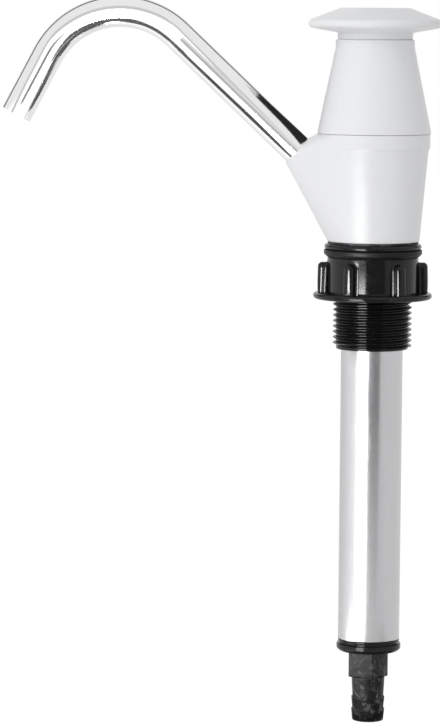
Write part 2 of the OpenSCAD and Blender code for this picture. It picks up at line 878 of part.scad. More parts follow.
module valve_cage() {
    color("white")
        difference() {
            translate([0, 0, cage_bottom_z])
                cylinder(r = ball_chamber_r - seat_fit, h = cage_t);
            for (i = [0 : cage_hole_count - 1])
                rotate([0, 0, i * 360 / cage_hole_count])
                    translate([cage_circle_r, 0, cage_bottom_z - cut])
                        cylinder(r = cage_hole_r, h = cage_t + 2 * cut, $fn = 32);
        }
}

module inlet_valve_ball() {
    color("silver")
        translate([0, 0, ball_z])
            sphere(r = ball_r);
}

// ---- Seal washer and fixing nut ----

module seal_washer() {
    in_r = thread_r + washer_clear;
    color("black")
        rotate_extrude()
            polygon([
                [in_r, -washer_t],
                [washer_r - washer_chamfer, -washer_t],
                [washer_r, -washer_t + washer_chamfer],
                [washer_r, 0],
                [in_r, 0]
            ]);
}

module fixing_nut() {
    flange_z = nut_foot_z + flange_t;
    rib_h = nut_h - flange_t - rib_drop;
    edge_r = flange_t / 2;
    rib_root_r = (nut_bore_r + nut_barrel_r) / 2;
    rib_step = 360 / rib_count;
    color("black")
        difference() {
            union() {
                rotate_extrude()
                    union() {
                        translate([0, nut_foot_z])
                            square([nut_barrel_r, nut_h]);
                        translate([0, nut_foot_z])
                            square([flange_r - edge_r, flange_t]);
                        translate([flange_r - edge_r, nut_foot_z + edge_r])
                            circle(r = edge_r, $fn = 32);
                    }
                // grip ribs with round tops, trimmed to a slightly drafted outside;
                // two of them stand half a step to each side of the front
                intersection() {
                    for (i = [0 : rib_count - 1])
                        rotate([0, 0, rib_step / 2 + i * rib_step - 90])
                            translate([rib_root_r, 0, flange_z - cut])
                                rotate([90, 0, 90])
                                    linear_extrude(height = rib_foot_r)
                                        union() {
                                            translate([-rib_w / 2, 0])
                                                square([rib_w, rib_h - rib_w / 2 + cut]);
                                            translate([0, rib_h - rib_w / 2 + cut])
                                                circle(d = rib_w, $fn = 32);
                                        }
                    rotate_extrude()
                        union() {
                            polygon([
                                [0, flange_z - cut],
                                [rib_foot_r, flange_z - cut],
                                [rib_top_r, flange_z + rib_h - rib_round],
                                [rib_top_r - rib_round, flange_z + rib_h],
                                [0, flange_z + rib_h]
                            ]);
                            translate([rib_top_r - rib_round, flange_z + rib_h - rib_round])
                                circle(r = rib_round, $fn = 24);
                        }
                }
            }
            translate([0, 0, nut_foot_z - cut])
                cylinder(r = nut_bore_r, h = nut_h + 2 * cut);
        }
}

knob();
knob_plug();
knob_screw();
plunger_rod();
stroke_stop();
valve_stop_washer();
piston_body();
piston_cup_seal();
piston_nut();
piston_valve_disc();
upper_cap();
rod_guide();
rod_wiper();
lower_head();
rod_seal();
gland_nut();
spout();
spout_seal();
mounting_sleeve();
swivel_washer();
swivel_seal();
snap_ring();
barrel_gasket();
barrel_tube();
foot_plug();
foot_plug_seal();
valve_cage();
inlet_valve_ball();
seal_washer();
fixing_nut();
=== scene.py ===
import math

import bpy
from bpy.props import FloatProperty, FloatVectorProperty, IntProperty, PointerProperty
from mathutils import Matrix, Vector


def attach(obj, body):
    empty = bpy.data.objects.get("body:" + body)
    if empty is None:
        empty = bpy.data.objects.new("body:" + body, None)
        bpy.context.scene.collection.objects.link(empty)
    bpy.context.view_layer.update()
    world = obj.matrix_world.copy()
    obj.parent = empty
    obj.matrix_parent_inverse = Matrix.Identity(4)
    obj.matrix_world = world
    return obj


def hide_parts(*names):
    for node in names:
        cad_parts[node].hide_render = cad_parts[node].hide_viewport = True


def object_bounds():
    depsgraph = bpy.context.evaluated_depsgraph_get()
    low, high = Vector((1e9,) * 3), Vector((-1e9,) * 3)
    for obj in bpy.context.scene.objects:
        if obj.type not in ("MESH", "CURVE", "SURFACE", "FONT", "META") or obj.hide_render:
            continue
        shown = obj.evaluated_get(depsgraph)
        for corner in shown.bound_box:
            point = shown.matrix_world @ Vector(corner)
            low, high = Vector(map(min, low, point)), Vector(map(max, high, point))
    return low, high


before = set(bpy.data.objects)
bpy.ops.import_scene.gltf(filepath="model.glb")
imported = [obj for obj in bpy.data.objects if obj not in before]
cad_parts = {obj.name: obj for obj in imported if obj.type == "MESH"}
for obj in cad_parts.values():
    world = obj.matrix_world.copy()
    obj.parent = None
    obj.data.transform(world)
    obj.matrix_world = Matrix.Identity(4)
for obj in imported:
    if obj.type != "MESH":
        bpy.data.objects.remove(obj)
cad_low, cad_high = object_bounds()

bl_info = {
    "name": "Jug hand pump",
    "version": (1, 0, 0),
    "blender": (4, 5, 0),
    "location": "View3D > Sidebar > Hand pump",
    "description": "Models the visible pieces of a hand pump for a water jug around its packed frame",
    "category": "Object",
}

MM = 0.001
RING_SEGMENTS = 192     # round a wide turned piece
SMALL_SEGMENTS = 96     # round a narrow one, and round one turn of the thread
BORE_SEGMENTS = 48      # round the screw's hole in the rod
ARCH_SEGMENTS = 64      # round a grip rib's arch, as a full circle
BEND_STEPS = 64         # along the spout's bend
RIM_STEPS = 12          # round the knob's rim
CORNER_STEPS = 5        # round the other rounded corners
FULL_ROUND = 0.49       # share of a side that the rounding at each of its ends may take
CREASE_ANGLE = math.radians(32)
MERGE_DISTANCE = 1e-6
SEAT_GAP = 0.02 * MM    # between a piece and the seat that it is pressed into
SIDE_GAP = 0.03 * MM    # above and below the swivel washer, and round the barrel's and the spout's ends
SLIDE_GAP = 0.05 * MM   # round the rod in its wiper, and round the foot plug in the barrel
END_GAP = 0.2 * MM      # between faces that don't touch
BEYOND = 1.0 * MM       # what a cutting tool reaches past the face that it cuts
OVERLAP = 0.5 * MM      # what a joined form reaches into its neighbour


# ---- Property helpers ----

def length(text, value, low=0.05, high=400.0):
    """A length property, its value written in millimetres."""
    return FloatProperty(name=text, default=value * MM, min=low * MM, max=high * MM,
                         precision=5, subtype="DISTANCE", unit="LENGTH")


def turn(text, value, low=-180.0, high=360.0):
    """An angle property, its value written in degrees."""
    return FloatProperty(name=text, default=math.radians(value), min=math.radians(low),
                         max=math.radians(high), subtype="ANGLE", unit="ROTATION")


def share(text, value, low=0.0, high=1.0):
    """A plain number property."""
    return FloatProperty(name=text, default=value, min=low, max=high, precision=4)


def number(text, value, low, high):
    """A count property."""
    return IntProperty(name=text, default=value, min=low, max=high)


def colour(text, value):
    """A colour property."""
    return FloatVectorProperty(name=text, default=value, size=3, min=0.0, max=1.0, subtype="COLOR")


# ---- Sizes and colours that a user would change ----

class PUMP_PG_knob(bpy.types.PropertyGroup):
    """Sizes of the knob and its plug"""
    radius: length("Radius over the rim", 28.0)
    top_z: length("Height of the flat top above the shoulder", 100.9)
    top_radius: length("Radius of the flat top", 14.4)
    top_slope: turn("Slope of the top cone", 21.0)
    under_slope: turn("Slope of the underside", 10.0)
    rim_round: length("Radius of the rounded rim", 1.9)
    neck_radius: length("Radius of the neck on the cap", 15.7)
    hollow_radius: length("Outer radius of the hollow underside", 13.2)
    boss_radius: length("Radius of the boss that holds the rod", 8.5)
    plug_radius: length("Radius of the plug over the screw", 7.2)
    plug_thickness: length("Thickness of the plug over the screw", 1.6)
    screw_head: length("Height of the screw's head", 3.0)
    screw_hole: length("Radius of the screw's hole", 2.55)
    screw_pocket: length("Radius of the pocket for the screw's head", 4.8)


class PUMP_PG_cap(bpy.types.PropertyGroup):
    """Sizes of the upper cap"""
    top_z: length("Height of the cap's top above the shoulder", 87.8)
    seam_z: length("Height of the seam above the shoulder", 48.5)
    seam_gap: length("Width of the fine gap in the seam", 0.16, low=0.0)
    base_radius: length("Radius at the seam", 23.85)
    top_radius: length("Radius of the straight collar", 16.5)
    collar_height: length("Height of the straight collar", 3.3)
    wall: length("Wall of the cone", 2.4)
    top_thickness: length("Thickness of the cap's top", 5.0)
    edge_round: length("Rounding of the top edge", 0.6)
    guide_radius: length("Radius of the hole for the rod's guide", 7.62)
    wiper_low: length("Depth of the wiper's lower face below the cap's top", 1.8)
    wiper_high: length("Depth of the wiper's upper face below the cap's top", 0.2)
    wiper_slope: length("Width of the wiper's sloped face", 1.6)


class PUMP_PG_head(bpy.types.PropertyGroup):
    """Sizes of the lower head and its spout boss"""
    skirt_z: length("Height of the skirt above the shoulder", 3.5)
    skirt_radius: length("Radius at the skirt", 19.4)
    skirt_round: length("Rounding of the skirt's lower edge", 0.45)
    cone_radius: length("Radius that the cone reaches at the seam", 23.4)
    band_radius: length("Radius of the straight band", 23.45)
    band_height: length("Height of the straight band", 5.6)
    step_height: length("Height of the step below the band", 1.5)
    step_depth: length("Depth of the step below the band", 0.75)
    ring_radius: length("Outside radius of the locating ring", 20.35)
    ring_wall: length("Wall of the locating ring", 2.6)
    ring_height: length("Height of the locating ring", 6.0)
    socket_radius: length("Radius of the socket on the sleeve", 16.05)
    socket_chamfer: length("Chamfer of the socket's mouth", 0.4)
    deck_z: length("Height of the deck's underside", 36.03)
    gland_radius: length("Radius of the gland's pocket", 8.0)
    gland_depth: length("Depth of the gland's pocket", 8.5)
    rod_hole: length("Radius of the rod's hole in the deck", 4.2)
    boss_x: length("Distance from the axis to the boss's face", 32.2)
    boss_z: length("Height of the boss's face above the shoulder", 41.5)
    boss_radius: length("Radius of the boss at its face", 7.12)
    boss_round: length("Rounding of the boss's edge", 0.35)


class PUMP_PG_spout(bpy.types.PropertyGroup):
    """Sizes of the bent spout"""
    radius: length("Outside radius of the tube", 6.5)
    wall: length("Wall of the tube", 1.0)
    leg_angle: turn("Angle of the long leg above level", 43.5)
    leg_length: length("Length of the long leg from the boss", 69.4)
    bend_radius: length("Radius of the bend along its middle", 34.5)
    bend_angle: turn("Angle of the bend", 105.6)
    end_length: length("Length of the straight end", 28.0)
    grip: length("Length of tube held in the boss", 14.0)
    edge_round: length("Rounding of the tube's edges", 0.18)


class PUMP_PG_sleeve(bpy.types.PropertyGroup):
    """Sizes of the threaded sleeve and its swivel washer"""
    crest_radius: length("Radius over the thread's crests", 16.62)
    root_radius: length("Radius in the thread's roots", 15.141)
    pitch: length("Pitch of the thread", 2.309)
    tail_length: length("Length of the tail below the shoulder", 41.8)
    shoulder_radius: length("Radius of the shoulder", 20.4)
    shoulder_height: length("Thickness of the shoulder", 2.5)
    spigot_radius: length("Radius of the spigot in the head", 16.0)
    spigot_height: length("Height of the spigot above the shoulder", 15.5)
    bore_radius: length("Radius of the water way above the tube", 11.9)
    core_depth: length("Depth of the core below the thread's roots", 0.25)
    crest_round: length("Rounding of the thread's crests", 0.12)
    parting_depth: length("Depth of the flat at the parting line", 0.06)
    parting_width: length("Width of the flat at the parting line", 1.5)
    parting_height: length("Height of the parting line", 37.0)
    parting_x: length("Place of the parting line along X", 0.35, low=-10.0)
    parting_z: length("Height of the parting line's middle", -22.0, low=-50.0)
    washer_outer: length("Outside radius of the swivel washer", 19.0)


class PUMP_PG_nut(bpy.types.PropertyGroup):
    """Sizes of the fixing nut and the seal washer"""
    washer_radius: length("Outside radius of the seal washer", 20.6)
    washer_thickness: length("Thickness of the seal washer", 3.0)
    washer_chamfer: length("Chamfer of the washer's lower edge", 1.2)
    washer_bore: length("Radius of the washer's hole", 16.97)
    height: length("Height of the nut", 17.7)
    bore_radius: length("Radius of the nut's bore", 16.7)
    barrel_radius: length("Radius of the nut's barrel", 19.1)
    flange_radius: length("Radius of the nut's flange", 25.0)
    flange_thickness: length("Thickness of the nut's flange", 2.6)
    rib_count: number("Number of grip ribs", 6, 3, 12)
    rib_width: length("Width of a rib", 4.5)
    rib_drop: length("Distance of the ribs below the nut's top", 2.3)
    rib_radius: length("Radius over the ribs at their top", 23.0)
    rib_draft: turn("Draft of the ribs' outside", 1.8)
    rib_round: length("Rounding of the ribs' outer edges", 1.8)
    rib_fillet: length("Fillet between a rib and the barrel", 0.9)
    rib_sink: length("Depth of a rib's root in the barrel", 1.2)
    rib_foot: length("Depth of a rib's foot in the flange", 0.8)


class PUMP_PG_barrel(bpy.types.PropertyGroup):
    """Sizes of the barrel tube and the plunger's rod"""
    radius: length("Outside radius of the barrel tube", 13.0)
    wall: length("Wall of the barrel tube", 1.0)
    rise: length("Length of the tube above the shoulder's underside", 3.5)
    drop: length("Length of the tube below the shoulder's underside", 165.3)
    rod_radius: length("Radius of the plunger's rod", 4.0)
    rod_tip_radius: length("Radius of the rod's lower end", 3.0)
    rod_top_z: length("Height of the rod's top above the shoulder", 93.3)
    rod_step_drop: length("Depth of the rod's step below the shoulder", 121.75)
    rod_tip_drop: length("Depth of the rod's tip below the shoulder", 143.55)
    screw_bore: length("Radius of the screw's hole in the rod", 2.52)
    screw_depth: length("Depth of the screw's hole in the rod", 17.0)


class PUMP_PG_foot(bpy.types.PropertyGroup):
    """Sizes of the foot plug"""
    plug_rise: length("Length of the plug inside the barrel", 18.3)
    lip: length("Thickness of the upper flange", 1.0)
    groove: length("Height of the groove between the flanges", 0.8)
    flange: length("Thickness of the lower flange", 3.2)
    flange_radius: length("Radius of the lower flange", 13.6)
    block_width: length("Side of the square block", 12.2)
    block_height: length("Height of the square block", 11.6)
    block_turn: turn("Turn of the square block", 54.0)
    block_round: length("Rounding of the block's edges", 0.35)
    barb_radius: length("Radius of the hose tail over its teeth", 7.0)
    root_length: length("Length of the hose tail above its first tooth", 8.4)
    tooth_length: length("Length of one tooth", 5.1)
    tooth_count: number("Number of teeth", 2, 1, 5)
    tooth_drop: length("Drop of a tooth's radius", 0.45)
    tooth_land: length("Straight length at the start of a tooth", 0.6)
    inlet_radius: length("Radius of the inlet bore", 4.0)
    chamber_radius: length("Radius of the valve's chamber", 8.5)
    chamber_drop: length("Depth of the chamber's cone below the tube's end", -7.74, low=-20.0)
    cone_drop: length("Depth of the cone's foot below the tube's end", -3.24, low=-20.0)


class PUMP_PG_finish(bpy.types.PropertyGroup):
    """Colours of the pump's finishes"""
    white: colour("Colour of the knob, cap and head", (0.812, 0.818, 0.83))
    black: colour("Colour of the nut and the sleeve", (0.006, 0.006, 0.007))
    dark: colour("Colour of the foot plug", (0.004, 0.0041, 0.0048))
    rubber: colour("Colour of the seals", (0.008, 0.008, 0.009))
    chrome: colour("Colour of the spout", (0.93, 0.93, 0.94))
    aluminium: colour("Colour of the barrel", (0.6, 0.6, 0.612))
    steel: colour("Colour of the rod and the small metal pieces", (0.6, 0.59, 0.57))
    brass: colour("Colour of the gland nut", (0.72, 0.5, 0.2))
    acetal: colour("Colour of the guide and the valve pieces", (0.78, 0.77, 0.73))
    floor: colour("Colour of the floor", (0.9, 0.9, 0.9))


class PUMP_PG_stage(bpy.types.PropertyGroup):
    """Sizes of the stage, the lights and the camera"""
    camera_x: length("Camera's place along X", -63.9, low=-3000.0)
    camera_y: length("Camera's place along Y", -1475.0, low=-5000.0)
    camera_z: length("Camera's place along Z", 104.4)
    camera_pitch: turn("Angle that the camera looks down", 5.9)
    camera_roll: turn("Roll of the camera", 0.41)
    lens: share("Focal length in millimetres", 175.0, 20.0, 400.0)
    floor_size: length("Side of the floor", 9000.0, high=20000.0)
    key_power: share("Power of the soft key light in watts", 7.2, 0.0, 200.0)
    nut_strip: share("Brightness of the strip reflected in the nut", 42.0, 0.0, 100.0)
    tall_strip: share("Brightness of the strip reflected in the barrel", 9.0, 0.0, 100.0)
    sky_level: share("Brightness of the room's light on matt surfaces", 0.69, 0.0, 2.0)
    card_distance: length("Distance of the reflected cards in front of the pump", 120.0, high=2000.0)
    card_level: share("Brightness of the dark cards", 0.27)
    rim_near: share("Where the dark rim behind the pump starts, towards the back", 0.5)
    rim_far: share("Where the dark rim behind the pump ends, towards the back", 0.78)
    rim_low: share("Where the dark rim behind the pump starts, upwards", 0.15)
    rim_depth: share("How much the rim takes from the room's level", 0.8)


# ---- Modelling helpers ----

def deselect_all():
    """Leaves edit mode and selects nothing."""
    if bpy.context.mode != "OBJECT":
        bpy.ops.object.mode_set(mode="OBJECT")
    bpy.ops.object.select_all(action="DESELECT")


def select_only(piece):
    """Makes piece the one selected and active object."""
    deselect_all()
    piece.select_set(True)
    bpy.context.view_layer.objects.active = piece


def settle(name):
    """Names the object that was just added and moves its place into its mesh."""
    piece = bpy.context.object
    piece.name = name
    piece.data.name = name
    bpy.ops.object.transform_apply(location=True, rotation=True, scale=True)
    return piece


def edit_mesh():
    """Opens the active object's mesh with all of it selected."""
    bpy.ops.object.mode_set(mode="EDIT")
    bpy.ops.mesh.select_all(action="SELECT")


def close_mesh(merge=None):
    """Merges points that are closer than merge, turns the normals outwards and leaves edit mode."""
    bpy.ops.mesh.select_all(action="SELECT")
    if merge:
        bpy.ops.mesh.remove_doubles(threshold=merge)
    bpy.ops.mesh.normals_make_consistent(inside=False)
    bpy.ops.object.mode_set(mode="OBJECT")


def extrude(step):
    """Extrudes what is selected by a step."""
    bpy.ops.mesh.extrude_region_move(TRANSFORM_OT_translate={"value": step})


def rounded(corners, closed):
    """A profile from (radius, height, rounding) corners: an arc of its rounding replaces each corner."""
    points = []
    count = len(corners)
    for i, (r, z, rounding) in enumerate(corners):
        here = Vector((r, z))
        if rounding <= 0 or (not closed and i in (0, count - 1)):
            points.append((r, z))
            continue
        before = Vector(corners[i - 1][:2]) - here
        after = Vector(corners[(i + 1) % count][:2]) - here
        half = before.angle(after) / 2
        reach = min(rounding / math.tan(half), FULL_ROUND * before.length, FULL_ROUND * after.length)
        radius = reach * math.tan(half)
        start = here + before.normalized() * reach
        inward = (before.normalized() + after.normalized()).normalized()
        middle = here + inward * (radius / math.sin(half))
        sweep = math.pi - 2 * half
        spoke = start - middle
        side = 1 if before.x * after.y - before.y * after.x < 0 else -1
        for k in range(CORNER_STEPS + 1):
            a = side * sweep * k / CORNER_STEPS
            turned_spoke = Vector((spoke.x * math.cos(a) - spoke.y * math.sin(a),
                                   spoke.x * math.sin(a) + spoke.y * math.cos(a)))
            points.append(tuple(middle + turned_spoke))
    return points


def turned(name, corners, closed=True, segments=RING_SEGMENTS):
    """A turned piece from (radius, height, rounding) corners: a circle, extruded and sized ring by ring.
    A closed profile makes a hollow ring; an open one starts and ends in a flat disc."""
    profile = rounded(corners, closed)
    deselect_all()
    radius, height = profile[0]
    bpy.ops.mesh.primitive_circle_add(vertices=segments, radius=radius, location=(0, 0, height),
                                      fill_type="NOTHING" if closed else "NGON")
    piece = settle(name)
    edit_mesh()
    steps = profile[1:] + profile[:1] if closed else profile[1:]
    for next_radius, next_height in steps:
        extrude((0, 0, next_height - height))
        scale = next_radius / radius
        bpy.ops.transform.resize(value=(scale, scale, 1), center_override=(0, 0, next_height))
        radius, height = next_radius, next_height
    close_mesh(MERGE_DISTANCE)
    return piece


def apply_modifier(piece, kind, **values):
    """Adds one modifier with its values and applies it."""
    select_only(piece)
    bpy.ops.object.modifier_add(type=kind)
    modifier = piece.modifiers[-1]
    for key, value in values.items():
        setattr(modifier, key, value)
    bpy.ops.object.modifier_apply(modifier=modifier.name)


def combine(piece, tool, operation):
    """Joins tool to piece, or cuts it out, and removes tool."""
    apply_modifier(piece, "BOOLEAN", object=tool, operation=operation, solver="EXACT")
    bpy.data.objects.remove(tool, do_unlink=True)


def rod_tool(name, radius, low, high, segments=SMALL_SEGMENTS):
    """A plain cylinder that cuts a hole along the axis."""
    deselect_all()
    bpy.ops.mesh.primitive_cylinder_add(vertices=segments, radius=radius, depth=high - low,
                                        location=(0, 0, (low + high) / 2))
    return settle(name)


def trim(piece, height, keep_above):
    """Cuts piece level at a height and closes the cut."""
    select_only(piece)
    edit_mesh()
    bpy.ops.mesh.bisect(plane_co=(0, 0, height), plane_no=(0, 0, 1), use_fill=True,
                        clear_inner=keep_above, clear_outer=not keep_above)
    bpy.ops.object.mode_set(mode="OBJECT")


def mend(piece):
    """Merges the slivers that cutting leaves and closes the pinholes between them."""
    select_only(piece)
    bpy.ops.object.mode_set(mode="EDIT")
    bpy.ops.mesh.select_mode(type="VERT")
    bpy.ops.mesh.select_all(action="SELECT")
    bpy.ops.mesh.remove_doubles(threshold=MERGE_DISTANCE * 5)
    bpy.ops.mesh.dissolve_degenerate(threshold=MERGE_DISTANCE)
    bpy.ops.mesh.select_all(action="DESELECT")
    bpy.ops.mesh.select_non_manifold(extend=False, use_wire=True, use_multi_face=False,
                                     use_non_contiguous=False, use_verts=False)
    bpy.ops.mesh.fill_holes(sides=0)
    close_mesh()


def finish(piece, body, slot, node, weighted=False):
    """Shades a piece, gives it its slot's look and rides it on its body in the place of a CAD node."""
    select_only(piece)
    bpy.ops.object.shade_smooth_by_angle(angle=CREASE_ANGLE)
    if weighted:
        apply_modifier(piece, "WEIGHTED_NORMAL", mode="FACE_AREA", weight=100, keep_sharp=True)
    piece.data.materials.clear()
    piece.data.materials.append(look(slot))
    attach(piece, body)
    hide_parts(node)


def leg_of(spout, head):
    """The middle of the boss's face, the long leg's direction and the turn of a ring across the leg."""
    along = Vector((-math.cos(spout.leg_angle), 0, math.sin(spout.leg_angle)))
    return Vector((-head.boss_x, 0, head.boss_z)), along, (0, -(math.pi / 2 - spout.leg_angle), 0)


# ---- Shader groups ----

def feed(tree, value, socket):
    """Links a socket to another one, or sets it to a plain value."""
    if isinstance(value, bpy.types.NodeSocket):
        tree.links.new(value, socket)
    else:
        socket.default_value = value


def math_node(tree, operation, *values):
    """The output of a Math node on sockets or numbers."""
    node = tree.nodes.new("ShaderNodeMath")
    node.operation = operation
    for socket, value in zip(node.inputs, values):
        feed(tree, value, socket)
    return node.outputs[0]


def total(tree, first, *others):
    """The sum of sockets and numbers."""
    for value in others:
        first = math_node(tree, "ADD", first, value)
    return first


def product(tree, first, *others):
    """The product of sockets and numbers."""
    for value in others:
        first = math_node(tree, "MULTIPLY", first, value)
    return first


def swing(tree, source, amount):
    """A mask's swing about its middle, times an amount."""
    return product(tree, math_node(tree, "SUBTRACT", source, 0.5), amount)


def spread(tree, source, low, high, to_low=0.0, to_high=1.0):
    """Maps a socket's range onto another; the new limits may be sockets or numbers."""
    node = tree.nodes.new("ShaderNodeMapRange")
    for label, value in (("Value", source), ("From Min", low), ("From Max", high),
                         ("To Min", to_low), ("To Max", to_high)):
        feed(tree, value, node.inputs[label])
    return node.outputs["Result"]


def noise(tree, coordinates, scale, detail, roughness=0.5):
    """A noise texture's height."""
    node = tree.nodes.new("ShaderNodeTexNoise")
    for label, value in (("Vector", coordinates), ("Scale", scale), ("Detail", detail),
                         ("Roughness", roughness)):
        feed(tree, value, node.inputs[label])
    return node.outputs["Fac"]


def scaled(tree, operation, vector, by):
    """A vector or colour, scaled by a number or multiplied by another vector."""
    node = tree.nodes.new("ShaderNodeVectorMath")
    node.operation = operation
    tree.links.new(vector, node.inputs[0])
    tree.links.new(by, node.inputs["Scale" if operation == "SCALE" else 1])
    return node.outputs[0]


def object_place(tree):
    """The Object coordinates."""
    return tree.nodes.new("ShaderNodeTexCoord").outputs["Object"]


def axes_of(tree, vector):
    """A vector's X, Y and Z sockets."""
    node = tree.nodes.new("ShaderNodeSeparateXYZ")
    tree.links.new(vector, node.inputs[0])
    return node.outputs


def new_group(name, inputs, outputs):
    """An empty shader group: its tree, the sockets that it is given and the sockets that it gives.
    inputs holds each input's default by its name, and only the sockets called Colour are colours."""
    group = bpy.data.node_groups.new(name, "ShaderNodeTree")
    for in_out, labels in (("INPUT", inputs), ("OUTPUT", outputs)):
        for label in labels:
            kind = "NodeSocketColor" if label == "Colour" else "NodeSocketFloat"
            socket = group.interface.new_socket(label, in_out=in_out, socket_type=kind)
            if in_out == "INPUT":
                socket.default_value = inputs[label]
    return group, group.nodes.new("NodeGroupInput").outputs, group.nodes.new("NodeGroupOutput").inputs


def build_moulded_group():
    """Moulded plastic: a slow drift of tone, a fine skin and faint rubbed patches."""
    group, given, result = new_group(
        "moulded_skin", {"Colour": (0.8, 0.8, 0.8, 1.0), "Tone drift": 0.02, "Grain scale": 900.0,
                         "Roughness": 0.3, "Roughness drift": 0.05, "Rub": 0.3},
        ("Colour", "Roughness", "Height"))
    place = object_place(group)
    slow = noise(group, place, scale=38.0, detail=2.0)
    patch = noise(group, place, scale=160.0, detail=6.0, roughness=0.62)
    grain = noise(group, place, given["Grain scale"], detail=4.0, roughness=0.6)
    level = total(group, swing(group, slow, given["Tone drift"]), swing(group, grain, given["Tone drift"]),
                  1.0)
    feed(group, scaled(group, "SCALE", given["Colour"], level), result["Colour"])
    rubbed = product(group, spread(group, patch, 0.52, 0.72), given["Rub"])
    feed(group, total(group, given["Roughness"], swing(group, slow, given["Roughness drift"]),
                      product(group, rubbed, given["Roughness drift"])), result["Roughness"])
    feed(group, total(group, grain, product(group, patch, 0.6)), result["Height"])
    return group


def build_scuff_group():
    """Scuffs: thin slanting scratches and dull patches, as one mask."""
    group, given, result = new_group(
        "scuffs", {"Scratch scale": 900.0, "Patch scale": 260.0, "Amount": 1.0}, ("Mask",))
    place = object_place(group)
    masks = []
    for slant, squeeze in ((0.7, 0.07), (-0.9, 0.1)):
        lean = group.nodes.new("ShaderNodeMapping")
        lean.vector_type = "TEXTURE"
        lean.inputs["Rotation"].default_value = (slant, slant * 0.6, 0.3)
        lean.inputs["Scale"].default_value = (1.0, 1.0, 1 / squeeze)
        group.links.new(place, lean.inputs["Vector"])
        fine = noise(group, lean.outputs["Vector"], given["Scratch scale"], detail=3.0, roughness=0.55)
        masks.append(spread(group, fine, 0.6, 0.66))
    scratches = math_node(group, "MAXIMUM", *masks)
    dull = noise(group, place, given["Patch scale"], detail=5.0, roughness=0.65)
    patches = spread(group, dull, 0.52, 0.68)
    both = total(group, product(group, scratches, 0.55), product(group, patches, 0.6))
    feed(group, math_node(group, "MINIMUM", product(group, both, given["Amount"]), 1.0), result["Mask"])
    return group


def build_drawn_group():
    """Drawn metal: hair lines that run along the axis, over a slow change of shine."""
    group, given, result = new_group(
        "drawn_metal", {"Colour": (0.6, 0.6, 0.6, 1.0), "Line scale": 1500.0, "Line stretch": 0.01,
                        "Line tone": 0.1, "Roughness": 0.3, "Roughness drift": 0.08},
        ("Colour", "Roughness", "Height"))
    place = object_place(group)
    stretch = group.nodes.new("ShaderNodeCombineXYZ")
    for axis, value in (("X", 1.0), ("Y", 1.0), ("Z", given["Line stretch"])):
        feed(group, value, stretch.inputs[axis])
    drawn = scaled(group, "MULTIPLY", place, stretch.outputs[0])
    lines = noise(group, drawn, given["Line scale"], detail=4.0, roughness=0.65)
    cloud = noise(group, place, scale=55.0, detail=4.0, roughness=0.6)
    haze = product(group, swing(group, cloud, given["Line tone"]), 0.35)
    level = total(group, swing(group, lines, given["Line tone"]), haze, 1.0)
    feed(group, scaled(group, "SCALE", given["Colour"], level), result["Colour"])
    wander = total(group, math_node(group, "SUBTRACT", lines, 0.5), math_node(group, "SUBTRACT", cloud, 0.5))
    feed(group, total(group, given["Roughness"], product(group, wander, given["Roughness drift"])),
         result["Roughness"])
    feed(group, lines, result["Height"])
    return group


# A group's builder, and the inputs that a look sets
GROUPS = {
    "moulded_skin": (build_moulded_group,
                     ("Tone drift", "Grain scale", "Roughness", "Roughness drift", "Rub")),
    "drawn_metal": (build_drawn_group,
                    ("Line scale", "Line stretch", "Line tone", "Roughness", "Roughness drift")),
    "scuffs": (build_scuff_group, ("Scratch scale", "Patch scale", "Amount")),
}


def add_group(tree, name, values):
    """A node of the named group, which is built at its first use, with its own values."""
    build, labels = GROUPS[name]
    node = tree.nodes.new("ShaderNodeGroup")
    node.node_tree = bpy.data.node_groups.get(name) or build()
    for label, value in zip(labels, values):
        node.inputs[label].default_value = value
    return node


# ---- Materials ----

# Slot: material, colour, group, the group's values, bump's strength and its depth in millimetres, the
# shader's values, and on scuffed pieces the scuffs' values and colour
LOOKS = {
    "white_plastic": ("white_moulding", "white", "moulded_skin", (0.02, 1400.0, 0.36, 0.06, 0.4),
                      (0.05, 0.05), {"IOR": 1.5, "Specular IOR Level": 0.22}),
    "black_plastic": ("black_moulding", "black", "moulded_skin", (0.3, 1100.0, 0.13, 0.08, 0.6),
                      (0.08, 0.05), {"IOR": 1.5, "Specular IOR Level": 0.28},
                      (700.0, 180.0, 0.12), (0.05, 0.05, 0.052)),
    "dark_plastic": ("rough_dark_moulding", "dark", "moulded_skin", (0.9, 620.0, 0.4, 0.3, 0.9),
                     (0.6, 0.25), {"IOR": 1.5, "Specular IOR Level": 0.3},
                     (420.0, 300.0, 0.75), (0.2, 0.202, 0.21)),
    "rubber": ("black_rubber", "rubber", "moulded_skin", (0.4, 1300.0, 0.42, 0.15, 0.7),
               (0.2, 0.05), {"IOR": 1.5, "Specular IOR Level": 0.2}),
    "inner_plastic": ("inner_acetal", "acetal", "moulded_skin", (0.05, 900.0, 0.4, 0.1, 0.4),
                      (0.1, 0.05), {"IOR": 1.48}),
    "spout_metal": ("bright_chrome", "chrome", "moulded_skin", (0.03, 1600.0, 0.12, 0.05, 0.5),
                    (0.004, 0.05), {"Metallic": 1.0}),
    "barrel_metal": ("satin_aluminium", "aluminium", "drawn_metal", (2600.0, 0.012, 0.12, 0.24, 0.1),
                     (0.06, 0.05), {"Metallic": 1.0}),
    "steel": ("ground_steel", "steel", "drawn_metal", (1800.0, 0.3, 0.1, 0.22, 0.1),
              (0.04, 0.05), {"Metallic": 1.0}),
    "brass": ("turned_brass", "brass", "drawn_metal", (1500.0, 3.0, 0.12, 0.28, 0.12),
              (0.06, 0.05), {"Metallic": 1.0}),
}
SCUFF_ROUGHNESS = 0.2   # what a full scuff adds to the roughness


